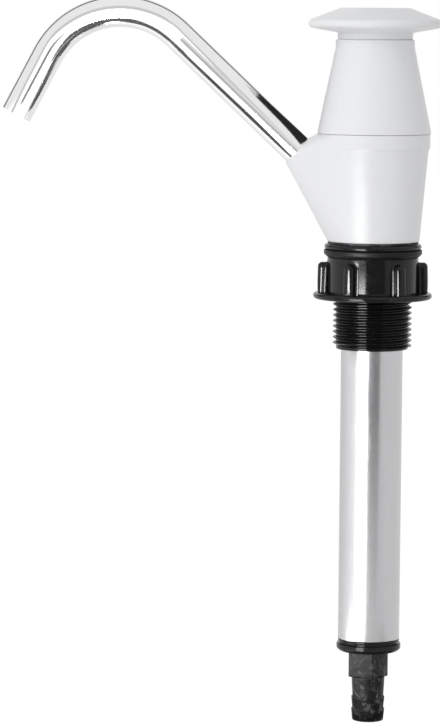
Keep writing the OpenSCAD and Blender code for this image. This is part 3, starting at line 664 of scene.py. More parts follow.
def look(slot):
    """A slot's material, made at its first use: shader groups feed its colour, roughness and bump."""
    name, tone, group_name, values, (bump, depth), shader, *scuffs = LOOKS[slot]
    made = bpy.data.materials.get(name)
    if made:
        return made
    made = bpy.data.materials.new(name)
    made.use_nodes = True
    tree = made.node_tree
    principled = tree.nodes["Principled BSDF"]
    skin = add_group(tree, group_name, values)
    skin.inputs["Colour"].default_value = (*getattr(bpy.context.scene.pump_finish, tone), 1.0)
    tint, rough = skin.outputs["Colour"], skin.outputs["Roughness"]
    if scuffs:
        scuff_values, scuff_colour = scuffs
        mask = add_group(tree, "scuffs", scuff_values).outputs["Mask"]
        blend = tree.nodes.new("ShaderNodeMix")
        blend.data_type = "RGBA"
        for label, value in (("Factor", mask), ("A", tint), ("B", (*scuff_colour, 1.0))):
            feed(tree, value, blend.inputs[label])
        tint = blend.outputs["Result"]
        rough = total(tree, rough, product(tree, mask, SCUFF_ROUGHNESS))
    relief = tree.nodes.new("ShaderNodeBump")
    for label, value in (("Strength", bump), ("Distance", depth * MM), ("Height", skin.outputs["Height"])):
        feed(tree, value, relief.inputs[label])
    for label, value in (("Base Color", tint), ("Roughness", rough), ("Normal", relief.outputs["Normal"]),
                         *shader.items()):
        feed(tree, value, principled.inputs[label])
    return made


# ---- Stage ----

PEAK_LEVEL = 1.5
# The room's level for reflections at bearings round the pump, in degrees: 0 is the camera's side
LEVELS_ROUND = [(-180, 0.8), (-144, 0.84), (-125, 0.95), (-100, 1.08), (-75, 1.27), (-55, 1.43),
                (-40, PEAK_LEVEL), (-25, 1.0), (0, 0.85), (25, 0.8), (60, 0.88), (145, 0.88), (180, 0.8)]
UPPER_LEVEL = 0.86      # the room's level for reflections that look up
SIDES_TO_UPPER = (0.05, 0.25)   # the ray's upward share between which the sides pass into that level
FLOOR_SEEN = 1.05       # the floor's level for the camera
FLOOR_GLOW = 0.93       # the glow's share in what the camera and reflections see of the floor


def light_round(tree, x, y):
    """The level that reflections see at each bearing round the pump, from sockets for X and Y."""
    bearing = math_node(tree, "ARCTAN2", x, product(tree, y, -1.0))
    ramp = tree.nodes.new("ShaderNodeValToRGB")
    tree.links.new(spread(tree, bearing, -math.pi, math.pi), ramp.inputs[0])
    elements = ramp.color_ramp.elements
    elements[0].color = elements[1].color = (*[LEVELS_ROUND[0][1] / PEAK_LEVEL] * 3, 1.0)
    for angle, level in LEVELS_ROUND[1:-1]:
        elements.new((angle + 180) / 360).color = (*[level / PEAK_LEVEL] * 3, 1.0)
    return product(tree, ramp.outputs["Color"], PEAK_LEVEL)


class PUMP_OT_stage(bpy.types.Operator):
    """Adds the camera, the floor, the room and the lights"""
    bl_idname = "pump.stage"
    bl_label = "Stage, lights and camera"

    def execute(self, context):
        s = context.scene.pump_stage
        self.add_camera(context, s)
        self.add_floor(context, s)
        self.add_room(context, s)
        self.add_lights(s)
        self.add_cards(s)
        context.scene.view_settings.view_transform = "Standard"
        return {"FINISHED"}

    def add_camera(self, context, s):
        """The camera, level but for its pitch and roll, looking along +Y."""
        deselect_all()
        bpy.ops.object.camera_add()
        camera = bpy.context.object
        camera.name = "camera"
        camera.data.lens = s.lens
        camera.data.sensor_width = 36.0
        camera.data.clip_start = 0.05
        ahead = Vector((0, math.cos(s.camera_pitch), -math.sin(s.camera_pitch)))
        right = Vector((1, 0, 0))
        upward = right.cross(ahead)
        tilted_right = right * math.cos(s.camera_roll) + upward * math.sin(s.camera_roll)
        tilted_up = upward * math.cos(s.camera_roll) - right * math.sin(s.camera_roll)
        turned_axes = Matrix((tilted_right, tilted_up, -ahead)).transposed().to_4x4()
        camera.matrix_world = Matrix.Translation((s.camera_x, s.camera_y, s.camera_z)) @ turned_axes
        context.scene.camera = camera

    def add_floor(self, context, s):
        """A plain floor under the hose tail, white to the camera, with a faint shadow; to reflections it
        glows with painted light, the room's levels round the pump, brightest to the left front.
        """
        deselect_all()
        bpy.ops.mesh.primitive_plane_add(size=s.floor_size, location=(0, 0, cad_low.z))
        floor = settle("floor")
        made = bpy.data.materials.new("pale_floor")
        made.use_nodes = True
        tree = made.node_tree
        principled = tree.nodes["Principled BSDF"]
        for label, value in (("Base Color", (*context.scene.pump_finish.floor, 1.0)), ("Roughness", 0.9),
                             ("Specular IOR Level", 0.0)):
            principled.inputs[label].default_value = value
        axes = axes_of(tree, object_place(tree))
        path = tree.nodes.new("ShaderNodeLightPath").outputs
        glow = tree.nodes.new("ShaderNodeEmission")
        # Painted light: for reflections the floor glows at the room's level for each bearing, brightest to
        # the left front and darker towards the camera
        around = light_round(tree, axes["X"], axes["Y"])
        level = spread(tree, path["Is Camera Ray"], 0.0, 1.0, around, FLOOR_SEEN)
        feed(tree, level, glow.inputs["Strength"])
        seen = math_node(tree, "MAXIMUM", path["Is Camera Ray"], path["Is Glossy Ray"])
        blend = tree.nodes.new("ShaderNodeMixShader")
        for socket, source in zip(blend.inputs, (product(tree, seen, FLOOR_GLOW), principled.outputs[0],
                                                 glow.outputs[0])):
            tree.links.new(source, socket)
        tree.links.new(blend.outputs[0], tree.nodes["Material Output"].inputs["Surface"])
        floor.data.materials.append(made)

    def add_room(self, context, s):
        """The room: white to the camera, even for matt surfaces, and with soft sides in reflections."""
        world = bpy.data.worlds.new("room")
        context.scene.world = world
        world.use_nodes = True
        tree = world.node_tree
        axes = axes_of(tree, tree.nodes.new("ShaderNodeTexCoord").outputs["Generated"])
        path = tree.nodes.new("ShaderNodeLightPath").outputs
        around = light_round(tree, axes["X"], axes["Y"])
        sides = spread(tree, axes["Z"], *SIDES_TO_UPPER, around, UPPER_LEVEL)
        rim = product(tree, math_node(tree, "GREATER_THAN", axes["Y"], s.rim_near),
                      math_node(tree, "LESS_THAN", axes["Y"], s.rim_far),
                      math_node(tree, "GREATER_THAN", axes["Z"], s.rim_low))
        shine = product(tree, sides, math_node(tree, "SUBTRACT", 1.0, product(tree, rim, s.rim_depth)))
        matt = product(tree, math_node(tree, "SUBTRACT", 1.0, path["Is Glossy Ray"]), s.sky_level)
        level = total(tree, matt, product(tree, shine, path["Is Glossy Ray"]))
        background = tree.nodes["Background"]
        feed(tree, math_node(tree, "MAXIMUM", level, path["Is Camera Ray"]), background.inputs["Strength"])
        background.inputs["Color"].default_value = (1.0, 1.0, 1.0, 1.0)

    def add_lights(self, s):
        """A soft key light from the left front, for the matt surfaces."""
        deselect_all()
        place, target = Vector((-0.95, -1.0, 0.55)), Vector((0, 0, -0.03))
        bpy.ops.object.light_add(type="AREA", location=place)
        lamp = bpy.context.object
        lamp.name = "key_light"
        lamp.data.shape = "SQUARE"
        lamp.data.size = 0.9
        lamp.data.energy = s.key_power
        lamp.rotation_euler = (target - place).to_track_quat("-Z", "Y").to_euler()
        lamp.visible_glossy = lamp.visible_camera = False

    def add_cards(self, s):
        """Bright strips and dark cards that only reflections see, as in a studio shot of bright metal."""
        lights = -s.card_distance / MM
        near = lights + 2.0
        low_floor = cad_low.z / MM + 0.5
        upright, sideways, flat = (90.0, 0, 0), (0, 90.0, 0), (0, 0, 0)
        along_leg, along_end = (90.0, 43.5, 0), (90.0, -62.1, 0)
        # Name, middle and size in millimetres, turns in degrees, brightness. A brightness that fades
        # with height is given as a low height in metres, its level there, a high height and its level.
        cards = (
            # Bright planes that make the highlights of the head, the nut, the barrel, the spout and the foot
            ("head_strip", (-82.5, lights, 6.0), (80.0, 18.0), upright, 3.0),
            ("nut_strip", (-82.5, lights, -17.0), (80.0, 28.0), upright, s.nut_strip),
            ("tall_strip", (-82.5, lights, -115.0), (80.0, 168.0), upright, s.tall_strip),
            ("side_panel", (-127.5, lights, 65.0), (170.0, 150.0), upright, 1.6),
            ("white_card", (-79.0, -60.0, 12.5), (42.0, 105.0), upright, 1.5),
            ("foot_panel", (-81.0, -26.0, low_floor + 0.5), (50.0, 50.0), (0, 0, 18.0), 9.0),
            # A dark card that makes the barrel's dark band, paler towards the foot
            ("front_card", (10.0, near, -90.0), (100.0, 220.0), upright,
             (-0.185, 0.75, -0.07, s.card_level)),
            # Grey planes along the spout, for the streaks on its leg, its end and its outer side
            ("leg_card", (-57.4, -19.5, 61.9), (70.0, 5.0), along_leg, 0.5),
            ("haze_card", (-56.2, -20.0, 63.2), (70.0, 11.0), along_leg, 0.74),
            ("end_card", (-149.5, near, 63.0), (55.0, 34.0), along_end, 0.2),
            ("left_frame", (-242.5, near, 70.0), (60.0, 260.0), upright, 0.6),
            ("top_frame", (-121.0, near, 170.0), (183.0, 60.0), upright, 0.6),
            ("side_frame", (-27.0, near, 125.0), (32.0, 110.0), upright, 0.6),
            # Dark cards for the line inside the bend, the patch on it and the band beside the boss
            ("bend_card", (-112.7, -20.0, 74.5), (17.6, 13.0), upright, 0.12),
            ("apex_card", (-106.0, -16.8, 60.0), (14.0, 14.6), flat, 0.12),
            ("inner_card", (-110.0, -12.75, 54.5), (51.0, 13.5), sideways, 0.12),
            ("cap_card", (-24.5, 8.0, 69.0), (40.0, 44.0), sideways, 0.02),
            ("under_card", (-147.2, -57.9, -50.0), (150.0, 90.0), (0, 0, -16.0), 0.08),
            # A dark card on the floor, for the foot plug
            ("floor_card", (10.0, -25.0, low_floor), (150.0, 100.0), flat, 0.12))
        for name, middle, size, turns, level in cards:
            deselect_all()
            bpy.ops.mesh.primitive_plane_add(size=1.0, location=Vector(middle) * MM)
            bpy.context.object.scale = (size[0] * MM, size[1] * MM, 1.0)
            bpy.context.object.rotation_euler = [math.radians(angle) for angle in turns]
            card = settle(name)
            made = bpy.data.materials.new(name)
            made.use_nodes = True
            tree = made.node_tree
            tree.nodes.remove(tree.nodes["Principled BSDF"])
            glow = tree.nodes.new("ShaderNodeEmission")
            if isinstance(level, tuple):
                low, low_level, high, high_level = level
                height = axes_of(tree, object_place(tree))["Z"]
                level = spread(tree, height, low, high, low_level, high_level)
            feed(tree, level, glow.inputs["Strength"])
            tree.links.new(glow.outputs[0], tree.nodes["Material Output"].inputs["Surface"])
            made.cycles.emission_sampling = "NONE"
            card.data.materials.append(made)
            card.visible_camera = card.visible_diffuse = card.visible_shadow = False
            card.visible_transmission = card.visible_volume_scatter = False


# ---- Knob ----

class PUMP_OT_knob(bpy.types.Operator):
    """Models the knob and the plug in its top"""
    bl_idname = "pump.knob"
    bl_label = "Knob and plug"

    def execute(self, context):
        k, rod = context.scene.pump_knob, context.scene.pump_barrel
        cap_top = context.scene.pump_cap.top_z
        rim_r = k.radius - k.rim_round
        rim_z = (k.top_z - (rim_r - k.top_radius) * math.tan(k.top_slope)
                 - k.rim_round / math.cos(k.top_slope))
        rim = []
        for i in range(RIM_STEPS + 1):
            angle = (math.pi / 2 - k.top_slope) - i / RIM_STEPS * (math.pi - k.top_slope - k.under_slope)
            rim.append((rim_r + k.rim_round * math.cos(angle), rim_z + k.rim_round * math.sin(angle), 0))
        under_r, under_z, _ = rim[-1]
        neck_z = under_z - (under_r - k.neck_radius) * math.tan(k.under_slope)
        plug_z = k.top_z - k.plug_thickness
        head_z = plug_z - k.screw_head
        seat, plug_seat = rod.rod_radius + SEAT_GAP, k.plug_radius + SEAT_GAP
        knob = turned("knob_body", [
            (plug_seat, k.top_z, 0.12 * MM),
            (k.top_radius, k.top_z, 1.6 * MM),
            *rim,
            (k.neck_radius, neck_z, 0.9 * MM),
            (k.neck_radius, cap_top, 0.45 * MM),
            (k.hollow_radius, cap_top, 0.3 * MM),
            (k.hollow_radius, head_z, 0.8 * MM),
            (k.boss_radius, head_z, 0.8 * MM),
            (k.boss_radius, cap_top + END_GAP, 0.3 * MM),
            (seat, cap_top + END_GAP, 0.3 * MM),
            (seat, rod.rod_top_z, 0),
            (k.screw_hole, rod.rod_top_z, 0),
            (k.screw_hole, head_z, 0),
            (k.screw_pocket, head_z, 0),
            (k.screw_pocket, plug_z, 0),
            (plug_seat, plug_z, 0)])
        finish(knob, "plunger", "white_plastic", "knob")
        middle = 0.4 * MM
        plug = turned("knob_top_plug", [
            (middle, plug_z, 0), (k.plug_radius, plug_z, 0.1 * MM), (k.plug_radius, k.top_z, 0.2 * MM),
            (middle, k.top_z, 0)], closed=False, segments=SMALL_SEGMENTS)
        finish(plug, "plunger", "white_plastic", "knob_plug")
        return {"FINISHED"}


# ---- Upper cap ----

class PUMP_OT_cap(bpy.types.Operator):
    """Models the tapered upper cap"""
    bl_idname = "pump.cap"
    bl_label = "Upper cap"

    def execute(self, context):
        c, h = context.scene.pump_cap, context.scene.pump_head
        collar_z = c.top_z - c.collar_height
        slope = (c.base_radius - c.top_radius) / (collar_z - c.seam_z)
        fit_z = c.seam_z + h.ring_height + END_GAP
        fit_r = h.ring_radius + SEAT_GAP
        under_z = c.top_z - c.top_thickness
        foot_z = c.seam_z + c.seam_gap
        cap = turned("cap_shell", [
            (c.guide_radius, c.top_z, 0.25 * MM),
            (c.top_radius, c.top_z, c.edge_round),
            (c.top_radius, collar_z, 1.2 * MM),
            (c.base_radius, foot_z, 0.22 * MM),
            (fit_r, foot_z, 0.2 * MM),
            (fit_r, fit_z, 0),
            (c.base_radius - slope * (fit_z - c.seam_z) - c.wall, fit_z, 0),
            (c.top_radius + slope * (collar_z - under_z) - c.wall, under_z, 0.8 * MM),
            (c.guide_radius, under_z, 0)])
        finish(cap, "head", "white_plastic", "upper_cap")
        return {"FINISHED"}


# ---- Lower head ----

class PUMP_OT_head(bpy.types.Operator):
    """Models the lower head: a cone blended by flat flanks into the spout's boss"""
    bl_idname = "pump.head"
    bl_label = "Lower head"

    def execute(self, context):
        h, c, s = context.scene.pump_head, context.scene.pump_cap, context.scene.pump_spout
        head = self.blended_body(h, c, s)
        band_z = c.seam_z - h.band_height
        inside = h.skirt_radius - OVERLAP * 2
        combine(head, turned("head_band", [
            (inside, c.seam_z, 0),
            (h.band_radius, c.seam_z, 0.3 * MM),
            (h.band_radius, band_z, 0.5 * MM),
            (h.band_radius - h.step_depth, band_z - h.step_height, 0.3 * MM),
            (inside, band_z - h.step_height, 0)]), "UNION")
        combine(head, turned("head_ring", [
            (h.ring_radius, c.seam_z - OVERLAP, 0),
            (h.ring_radius, c.seam_z + h.ring_height, 0.4 * MM),
            (h.ring_radius - h.ring_wall, c.seam_z + h.ring_height, 0.4 * MM),
            (h.ring_radius - h.ring_wall, c.seam_z - OVERLAP, 0)]), "UNION")
        combine(head, turned("head_socket", [
            (h.socket_radius + h.socket_chamfer, h.skirt_z - BEYOND, 0),
            (h.socket_radius + h.socket_chamfer, h.skirt_z, 0.2 * MM),
            (h.socket_radius, h.skirt_z + h.socket_chamfer, 0.2 * MM),
            (h.socket_radius, h.deck_z, 1.0 * MM),
            (BEYOND, h.deck_z, 0)], closed=False), "DIFFERENCE")
        gland_z = c.seam_z - h.gland_depth
        for tool in (
                rod_tool("head_rod_hole", h.rod_hole, h.deck_z - BEYOND, c.seam_z),
                rod_tool("head_gland", h.gland_radius + SEAT_GAP, gland_z, c.seam_z + BEYOND),
                self.leg_tool("spout_seat", s.radius + SIDE_GAP, 10 * BEYOND, -s.grip, h, s),
                self.leg_tool("spout_port", s.radius - s.wall, BEYOND - s.grip, -s.grip - s.radius, h, s)):
            combine(head, tool, "DIFFERENCE")
        mend(head)
        finish(head, "head", "white_plastic", "lower_head", weighted=True)
        return {"FINISHED"}

    def blended_body(self, h, c, s):
        """The convex form over the cone's rings and the boss's rings."""
        face, along, across = leg_of(s, h)
        slope = (h.cone_radius - h.skirt_radius) / (c.seam_z - h.skirt_z)
        rings = [((0, 0, c.seam_z), (0, 0, 0), h.cone_radius, RING_SEGMENTS)]
        for a in (math.radians(30 * k) for k in range(4)):
            z = h.skirt_z + h.skirt_round * (1 - math.sin(a))
            radius = h.skirt_radius + slope * (z - h.skirt_z) - h.skirt_round * (1 - math.cos(a))
            rings.append(((0, 0, z), (0, 0, 0), radius, RING_SEGMENTS))
            rings.append((face - along * (h.boss_round * (1 - math.sin(a))), across,
                          h.boss_radius - h.boss_round * (1 - math.cos(a)), SMALL_SEGMENTS))
        deselect_all()
        for i, (place, rotation, radius, segments) in enumerate(rings):
            bpy.ops.mesh.primitive_circle_add(vertices=segments, radius=radius, location=place,
                                              rotation=rotation)
            if i == 0:
                head = settle("head_shell")
                bpy.ops.object.mode_set(mode="EDIT")
        bpy.ops.mesh.select_all(action="SELECT")
        bpy.ops.mesh.convex_hull(join_triangles=True, face_threshold=math.radians(0.5),
                                 shape_threshold=math.radians(1.0))
        close_mesh()
        return head

    def leg_tool(self, name, radius, near, far, h, s):
        """A cylinder along the spout's long leg, from near to far past the boss's face."""
        face, along, across = leg_of(s, h)
        deselect_all()
        bpy.ops.mesh.primitive_cylinder_add(vertices=SMALL_SEGMENTS, radius=radius, depth=near - far,
                                            location=face + along * ((near + far) / 2), rotation=across)
        return settle(name)


# ---- Spout ----

class PUMP_OT_spout(bpy.types.Operator):
    """Models the bent chrome spout"""
    bl_idname = "pump.spout"
    bl_label = "Spout"

    def execute(self, context):
        s = context.scene.pump_spout
        face, along, across = leg_of(s, context.scene.pump_head)
        inward = Vector((-math.sin(s.leg_angle), 0, -math.cos(s.leg_angle)))
        centre = face + along * s.leg_length + inward * s.bend_radius
        deselect_all()
        bpy.ops.mesh.primitive_circle_add(vertices=SMALL_SEGMENTS, radius=s.radius,
                                          location=face - along * s.grip, rotation=across)
        spout = settle("spout_tube")
        edit_mesh()
        leg_parts, end_parts = 4, 2
        for _ in range(leg_parts):
            extrude(along * ((s.leg_length + s.grip) / leg_parts))
        bpy.ops.mesh.spin(steps=BEND_STEPS, angle=s.bend_angle, center=centre, axis=(0, 1, 0))
        direction = s.leg_angle - s.bend_angle
        for _ in range(end_parts):
            extrude(Vector((-math.cos(direction), 0, math.sin(direction))) * (s.end_length / end_parts))
        close_mesh(MERGE_DISTANCE)
        apply_modifier(spout, "SOLIDIFY", thickness=s.wall, offset=-1.0, use_even_offset=True)
        apply_modifier(spout, "BEVEL", width=s.edge_round, segments=3, limit_method="ANGLE",
                       angle_limit=math.radians(60))
        finish(spout, "head", "spout_metal", "spout")
        return {"FINISHED"}


# ---- Sleeve ----

class PUMP_OT_sleeve(bpy.types.Operator):
    """Models the threaded sleeve and the swivel washer on it"""
    bl_idname = "pump.sleeve"
    bl_label = "Threaded sleeve and swivel washer"

    def execute(self, context):
        t, b = context.scene.pump_sleeve, context.scene.pump_barrel
        top = t.shoulder_height + t.spigot_height
        shoulder_round = FULL_ROUND * t.shoulder_height
        thread_top = -context.scene.pump_nut.washer_thickness - t.pitch / 4
        thread_end = -t.tail_length + 0.55 * t.pitch
        inner_r = t.root_radius - t.core_depth
        tube_r = b.radius + SIDE_GAP
        body = turned("sleeve_body", [
            (t.bore_radius, top, 0.3 * MM),
            (t.spigot_radius, top, 0.6 * MM),
            (t.spigot_radius, t.shoulder_height, 0.2 * MM),
            (t.shoulder_radius, t.shoulder_height, shoulder_round),
            (t.shoulder_radius, 0, shoulder_round),
            (t.crest_radius, 0, 0),
            (t.crest_radius, thread_top, 0),
            (inner_r, thread_top - 0.4 * MM, 0),
            (inner_r, thread_end + 0.3 * MM, 0),
            (t.root_radius, thread_end + 0.2 * MM, 0),
            (t.root_radius, -t.tail_length, 0.35 * MM),
            (tube_r, -t.tail_length, 0.25 * MM),
            (tube_r, b.rise, 0),
            (t.bore_radius, b.rise + 0.3 * MM, 0)])
        thread = self.helix(t, thread_top, thread_end)
        bore = rod_tool("thread_bore", (b.radius + inner_r) / 2, -t.tail_length, t.shoulder_height)
        combine(thread, bore, "DIFFERENCE")
        combine(body, thread, "UNION")
        self.parting_line(body, t)
        mend(body)
        finish(body, "sleeve", "black_plastic", "mounting_sleeve")
        low, high = t.shoulder_height + SIDE_GAP, context.scene.pump_head.skirt_z - SIDE_GAP
        ring = turned("swivel_ring", [
            (t.spigot_radius + END_GAP, low, 0.1 * MM), (t.spigot_radius + END_GAP, high, 0.1 * MM),
            (t.washer_outer, high, 0.2 * MM), (t.washer_outer, low, 0.2 * MM)])
        finish(ring, "sleeve", "dark_plastic", "swivel_washer")
        return {"FINISHED"}

    def helix(self, t, top, end):
        """One pitch of the thread's section, wound into a screw and trimmed level at both ends."""
        deselect_all()
        turns = int((top - end) / t.pitch) + 3
        # The flat of a crest takes a seventh of the pitch, and that of a root a ninth
        crest, root, soft = t.pitch / 7, t.pitch / 9, t.crest_round
        flank = (t.pitch - crest - root) / 2
        crest_low, crest_high = root + flank, root + flank + crest
        section = [
            (t.root_radius, 0.0),
            (t.root_radius, root),
            (t.crest_radius - soft, crest_low - soft * 0.4),
            (t.crest_radius, crest_low + soft * 0.35),
            (t.crest_radius, crest_high - soft * 0.35),
            (t.crest_radius - soft, crest_high + soft * 0.4),
            (t.root_radius, t.pitch),
        ]
        bpy.ops.mesh.primitive_plane_add(size=0.1 * MM, location=(t.root_radius, 0, end - t.pitch * 1.5))
        screw = settle("sleeve_thread")
        edit_mesh()
        bpy.ops.mesh.merge(type="CENTER")
        for here, point in zip(section, section[1:]):
            bpy.ops.mesh.extrude_vertices_move(
                TRANSFORM_OT_translate={"value": (point[0] - here[0], 0, point[1] - here[1])})
        bpy.ops.object.mode_set(mode="OBJECT")
        apply_modifier(screw, "SCREW", angle=2 * math.pi, screw_offset=t.pitch, iterations=turns,
                       steps=SMALL_SEGMENTS, render_steps=SMALL_SEGMENTS, use_merge_vertices=True,
                       merge_threshold=MERGE_DISTANCE * 10)
        trim(screw, end, keep_above=True)
        trim(screw, top, keep_above=False)
        select_only(screw)
        edit_mesh()
        close_mesh(MERGE_DISTANCE * 5)
        return screw

    def parting_line(self, body, t):
        """The mould's parting line: the crests are a hair flat in front, and at the back."""
        thick = BEYOND
        for side in (-1, 1):
            deselect_all()
            away = side * (t.crest_radius - t.parting_depth + thick / 2)
            bpy.ops.mesh.primitive_cube_add(size=1.0, location=(t.parting_x, away, t.parting_z),
                                            scale=(t.parting_width, thick, t.parting_height))
            combine(body, settle("parting_tool"), "DIFFERENCE")


# ---- Seal washer and fixing nut ----

class PUMP_OT_nut(bpy.types.Operator):
    """Models the seal washer and the ribbed fixing nut"""
    bl_idname = "pump.nut"
    bl_label = "Seal washer and fixing nut"

    def execute(self, context):
        n = context.scene.pump_nut
        top = -n.washer_thickness
        foot = top - n.height
        washer = turned("washer_ring", [
            (n.washer_bore, 0, 0.2 * MM),
            (n.washer_radius, 0, 0.35 * MM),
            (n.washer_radius, top + n.washer_chamfer, 0.5 * MM),
            (n.washer_radius - n.washer_chamfer, top, 0.3 * MM),
            (n.washer_bore, top, 0.2 * MM)])
        finish(washer, "washer", "rubber", "seal_washer")
        flange_z = foot + n.flange_thickness
        flange_round = FULL_ROUND * n.flange_thickness
        nut = turned("nut_body", [
            (n.bore_radius, top, 0.3 * MM),
            (n.barrel_radius, top, 0.5 * MM),
            (n.barrel_radius, flange_z, 0.7 * MM),
            (n.flange_radius, flange_z, flange_round),
            (n.flange_radius, foot, flange_round),
            (n.bore_radius, foot, 0.4 * MM)])
        rib = self.grip_rib(n, top - n.rib_drop, flange_z)
        step = 2 * math.pi / n.rib_count
        for i in range(n.rib_count):
            copy = rib.copy()
            copy.data = rib.data.copy()
            context.scene.collection.objects.link(copy)
            copy.rotation_euler = (0, 0, step / 2 + i * step - math.pi / 2)
            select_only(copy)
            bpy.ops.object.transform_apply(rotation=True)
            combine(nut, copy, "UNION")
        bpy.data.objects.remove(rib, do_unlink=True)
        finish(nut, "nut", "black_plastic", "fixing_nut")
        return {"FINISHED"}

    def grip_rib(self, n, top, flange_z):
        """One rib that stands out along +X: an arch, flared at the nut's barrel and rounded outside."""
        half, sunk = n.rib_width / 2, n.rib_sink
        arch_z = top - half
        foot = flange_z - n.rib_foot
        deselect_all()
        bpy.ops.mesh.primitive_circle_add(vertices=ARCH_SEGMENTS, radius=half, fill_type="NGON",
                                          location=(n.barrel_radius - sunk, 0, arch_z),
                                          rotation=(0, math.pi / 2, 0))
        rib = settle("grip_rib")
        edit_mesh()
        bpy.ops.mesh.bisect(plane_co=(0, 0, arch_z), plane_no=(0, 0, 1), clear_inner=True)
        bpy.ops.mesh.select_all(action="DESELECT")
        bpy.ops.object.mode_set(mode="OBJECT")
        for edge in rib.data.edges:
            ends = [rib.data.vertices[v].co.z for v in edge.vertices]
            edge.select = all(abs(z - arch_z) < MERGE_DISTANCE for z in ends)
        bpy.ops.object.mode_set(mode="EDIT")
        bpy.ops.mesh.select_mode(type="EDGE")
        extrude((0, 0, foot - 4 * BEYOND - arch_z))
        bpy.ops.mesh.select_mode(type="VERT")
        bpy.ops.mesh.select_all(action="SELECT")
        bpy.ops.mesh.dissolve_limited(angle_limit=math.radians(0.1))
        bpy.ops.mesh.select_all(action="SELECT")
        reach = n.rib_radius - n.barrel_radius
        stations = [(0.0, n.rib_fillet)]
        for a in (math.radians(18 * k) for k in range(1, 6)):
            stations.append((n.rib_fillet * (1 - math.cos(a)), n.rib_fillet * (1 - math.sin(a))))
        for a in (math.radians(15 * k) for k in range(7)):
            stations.append((reach - n.rib_round * (1 - math.sin(a)), -n.rib_round * (1 - math.cos(a))))
        out, grow = -sunk, 0.0
        for next_out, next_grow in stations:
            extrude((next_out - out, 0, 0))
            scale = (half + next_grow) / (half + grow)
            bpy.ops.transform.resize(value=(1, scale, scale), center_override=(0, 0, arch_z))
            out, grow = next_out, next_grow
        bpy.ops.mesh.select_all(action="SELECT")
        bpy.ops.transform.rotate(value=n.rib_draft, orient_axis="Y",
                                 center_override=(n.rib_radius, 0, top))
        close_mesh()
        trim(rib, foot, keep_above=True)
        return rib


# ---- Barrel ----

class PUMP_OT_barrel(bpy.types.Operator):
    """Models the barrel tube and the plunger's rod"""
    bl_idname = "pump.barrel"
    bl_label = "Barrel tube and rod"

    def execute(self, context):
        b = context.scene.pump_barrel
        inner = b.radius - b.wall
        tube = turned("barrel_shell", [
            (inner, b.rise, 0.2 * MM), (b.radius, b.rise, 0.2 * MM),
            (b.radius, -b.drop, 0.5 * MM), (inner, -b.drop, 0.2 * MM)])
        finish(tube, "sleeve", "barrel_metal", "barrel_tube")
        middle = 0.3 * MM
        rod = turned("rod_bar", [
            (middle, -b.rod_tip_drop, 0), (b.rod_tip_radius, -b.rod_tip_drop, 0.5 * MM),
            (b.rod_tip_radius, -b.rod_step_drop, 0.1 * MM), (b.rod_radius, -b.rod_step_drop, 0.3 * MM),
            (b.rod_radius, b.rod_top_z, 0.5 * MM), (middle, b.rod_top_z, 0)],
            closed=False, segments=SMALL_SEGMENTS)
        combine(rod, rod_tool("rod_bore", b.screw_bore, b.rod_top_z - b.screw_depth, b.rod_top_z + BEYOND,
                              BORE_SEGMENTS), "DIFFERENCE")
        finish(rod, "plunger", "steel", "plunger_rod")
        return {"FINISHED"}


# ---- Foot plug ----

class PUMP_OT_foot(bpy.types.Operator):
    """Models the foot plug with its square block and toothed hose tail"""
    bl_idname = "pump.foot"
    bl_label = "Foot plug"

    def execute(self, context):
        f, b = context.scene.pump_foot, context.scene.pump_barrel
        end = -b.drop
        plug_r = b.radius - b.wall - SLIDE_GAP
        lip_z = end - f.lip
        flange_top = lip_z - f.groove
        flange_low = flange_top - f.flange
        block_low = flange_low - f.block_height
        teeth_top = block_low - f.root_length
        foot_z = teeth_top - f.tooth_count * f.tooth_length
        core_r = f.block_width / 2 - 0.2 * MM
        root_rise = 0.25 * MM
        corners = [
            (f.chamber_radius, end + f.plug_rise, 0.2 * MM),
            (plug_r, end + f.plug_rise, 0.5 * MM),
            (plug_r, end, 0),
            (b.radius, end, 0.15 * MM),
            (b.radius, lip_z, 0.35 * MM),
            (plug_r, lip_z, 0.1 * MM),
            (plug_r, flange_top, 0.1 * MM),
            (f.flange_radius, flange_top, 0.45 * MM),
            (f.flange_radius, flange_low + f.flange / 3, 0.6 * MM),
            (f.flange_radius - f.flange / 3, flange_low, 0.5 * MM),
            (core_r, flange_low, 0),
            (core_r, block_low + 0.3 * MM, 0),
        ]
        teeth = [(teeth_top - i * f.tooth_length, f.tooth_length) for i in range(f.tooth_count)]
        for z, run in [(block_low + root_rise, f.root_length + root_rise)] + teeth:
            corners += [(f.barb_radius, z, 0.12 * MM),
                        (f.barb_radius, z - f.tooth_land, 0.3 * MM),
                        (f.barb_radius - f.tooth_drop, z - run, 0.05 * MM)]
        corners[-1] = (corners[-1][0], foot_z, 0.4 * MM)
        corners += [
            (f.inlet_radius, foot_z, 0.4 * MM),
            (f.inlet_radius, end - f.cone_drop, 0),
            (f.chamber_radius, end - f.chamber_drop, 0),
        ]
        foot = turned("foot_body", corners)
        combine(foot, self.block(f, flange_low, block_low), "UNION")
        bore = rod_tool("inlet_bore", f.inlet_radius, foot_z - BEYOND, end - f.cone_drop)
        combine(foot, bore, "DIFFERENCE")
        finish(foot, "sleeve", "dark_plastic", "foot_plug")
        foot.data.materials.append(look("black_plastic"))
        for face in foot.data.polygons:
            if face.center.z > flange_low - SLIDE_GAP:
                face.material_index = 1
        return {"FINISHED"}

    def block(self, f, high, low):
        """The square block, with softly rounded edges."""
        deselect_all()
        high += OVERLAP
        bpy.ops.mesh.primitive_cube_add(size=1.0, location=(0, 0, (high + low) / 2),
                                        rotation=(0, 0, f.block_turn),
                                        scale=(f.block_width, f.block_width, high - low))
        block = settle("foot_block")
        edit_mesh()
        bpy.ops.mesh.bevel(offset=f.block_round, segments=4, profile=0.5, affect="EDGES")
        bpy.ops.object.mode_set(mode="OBJECT")
        return block


# ---- Inner pieces ----

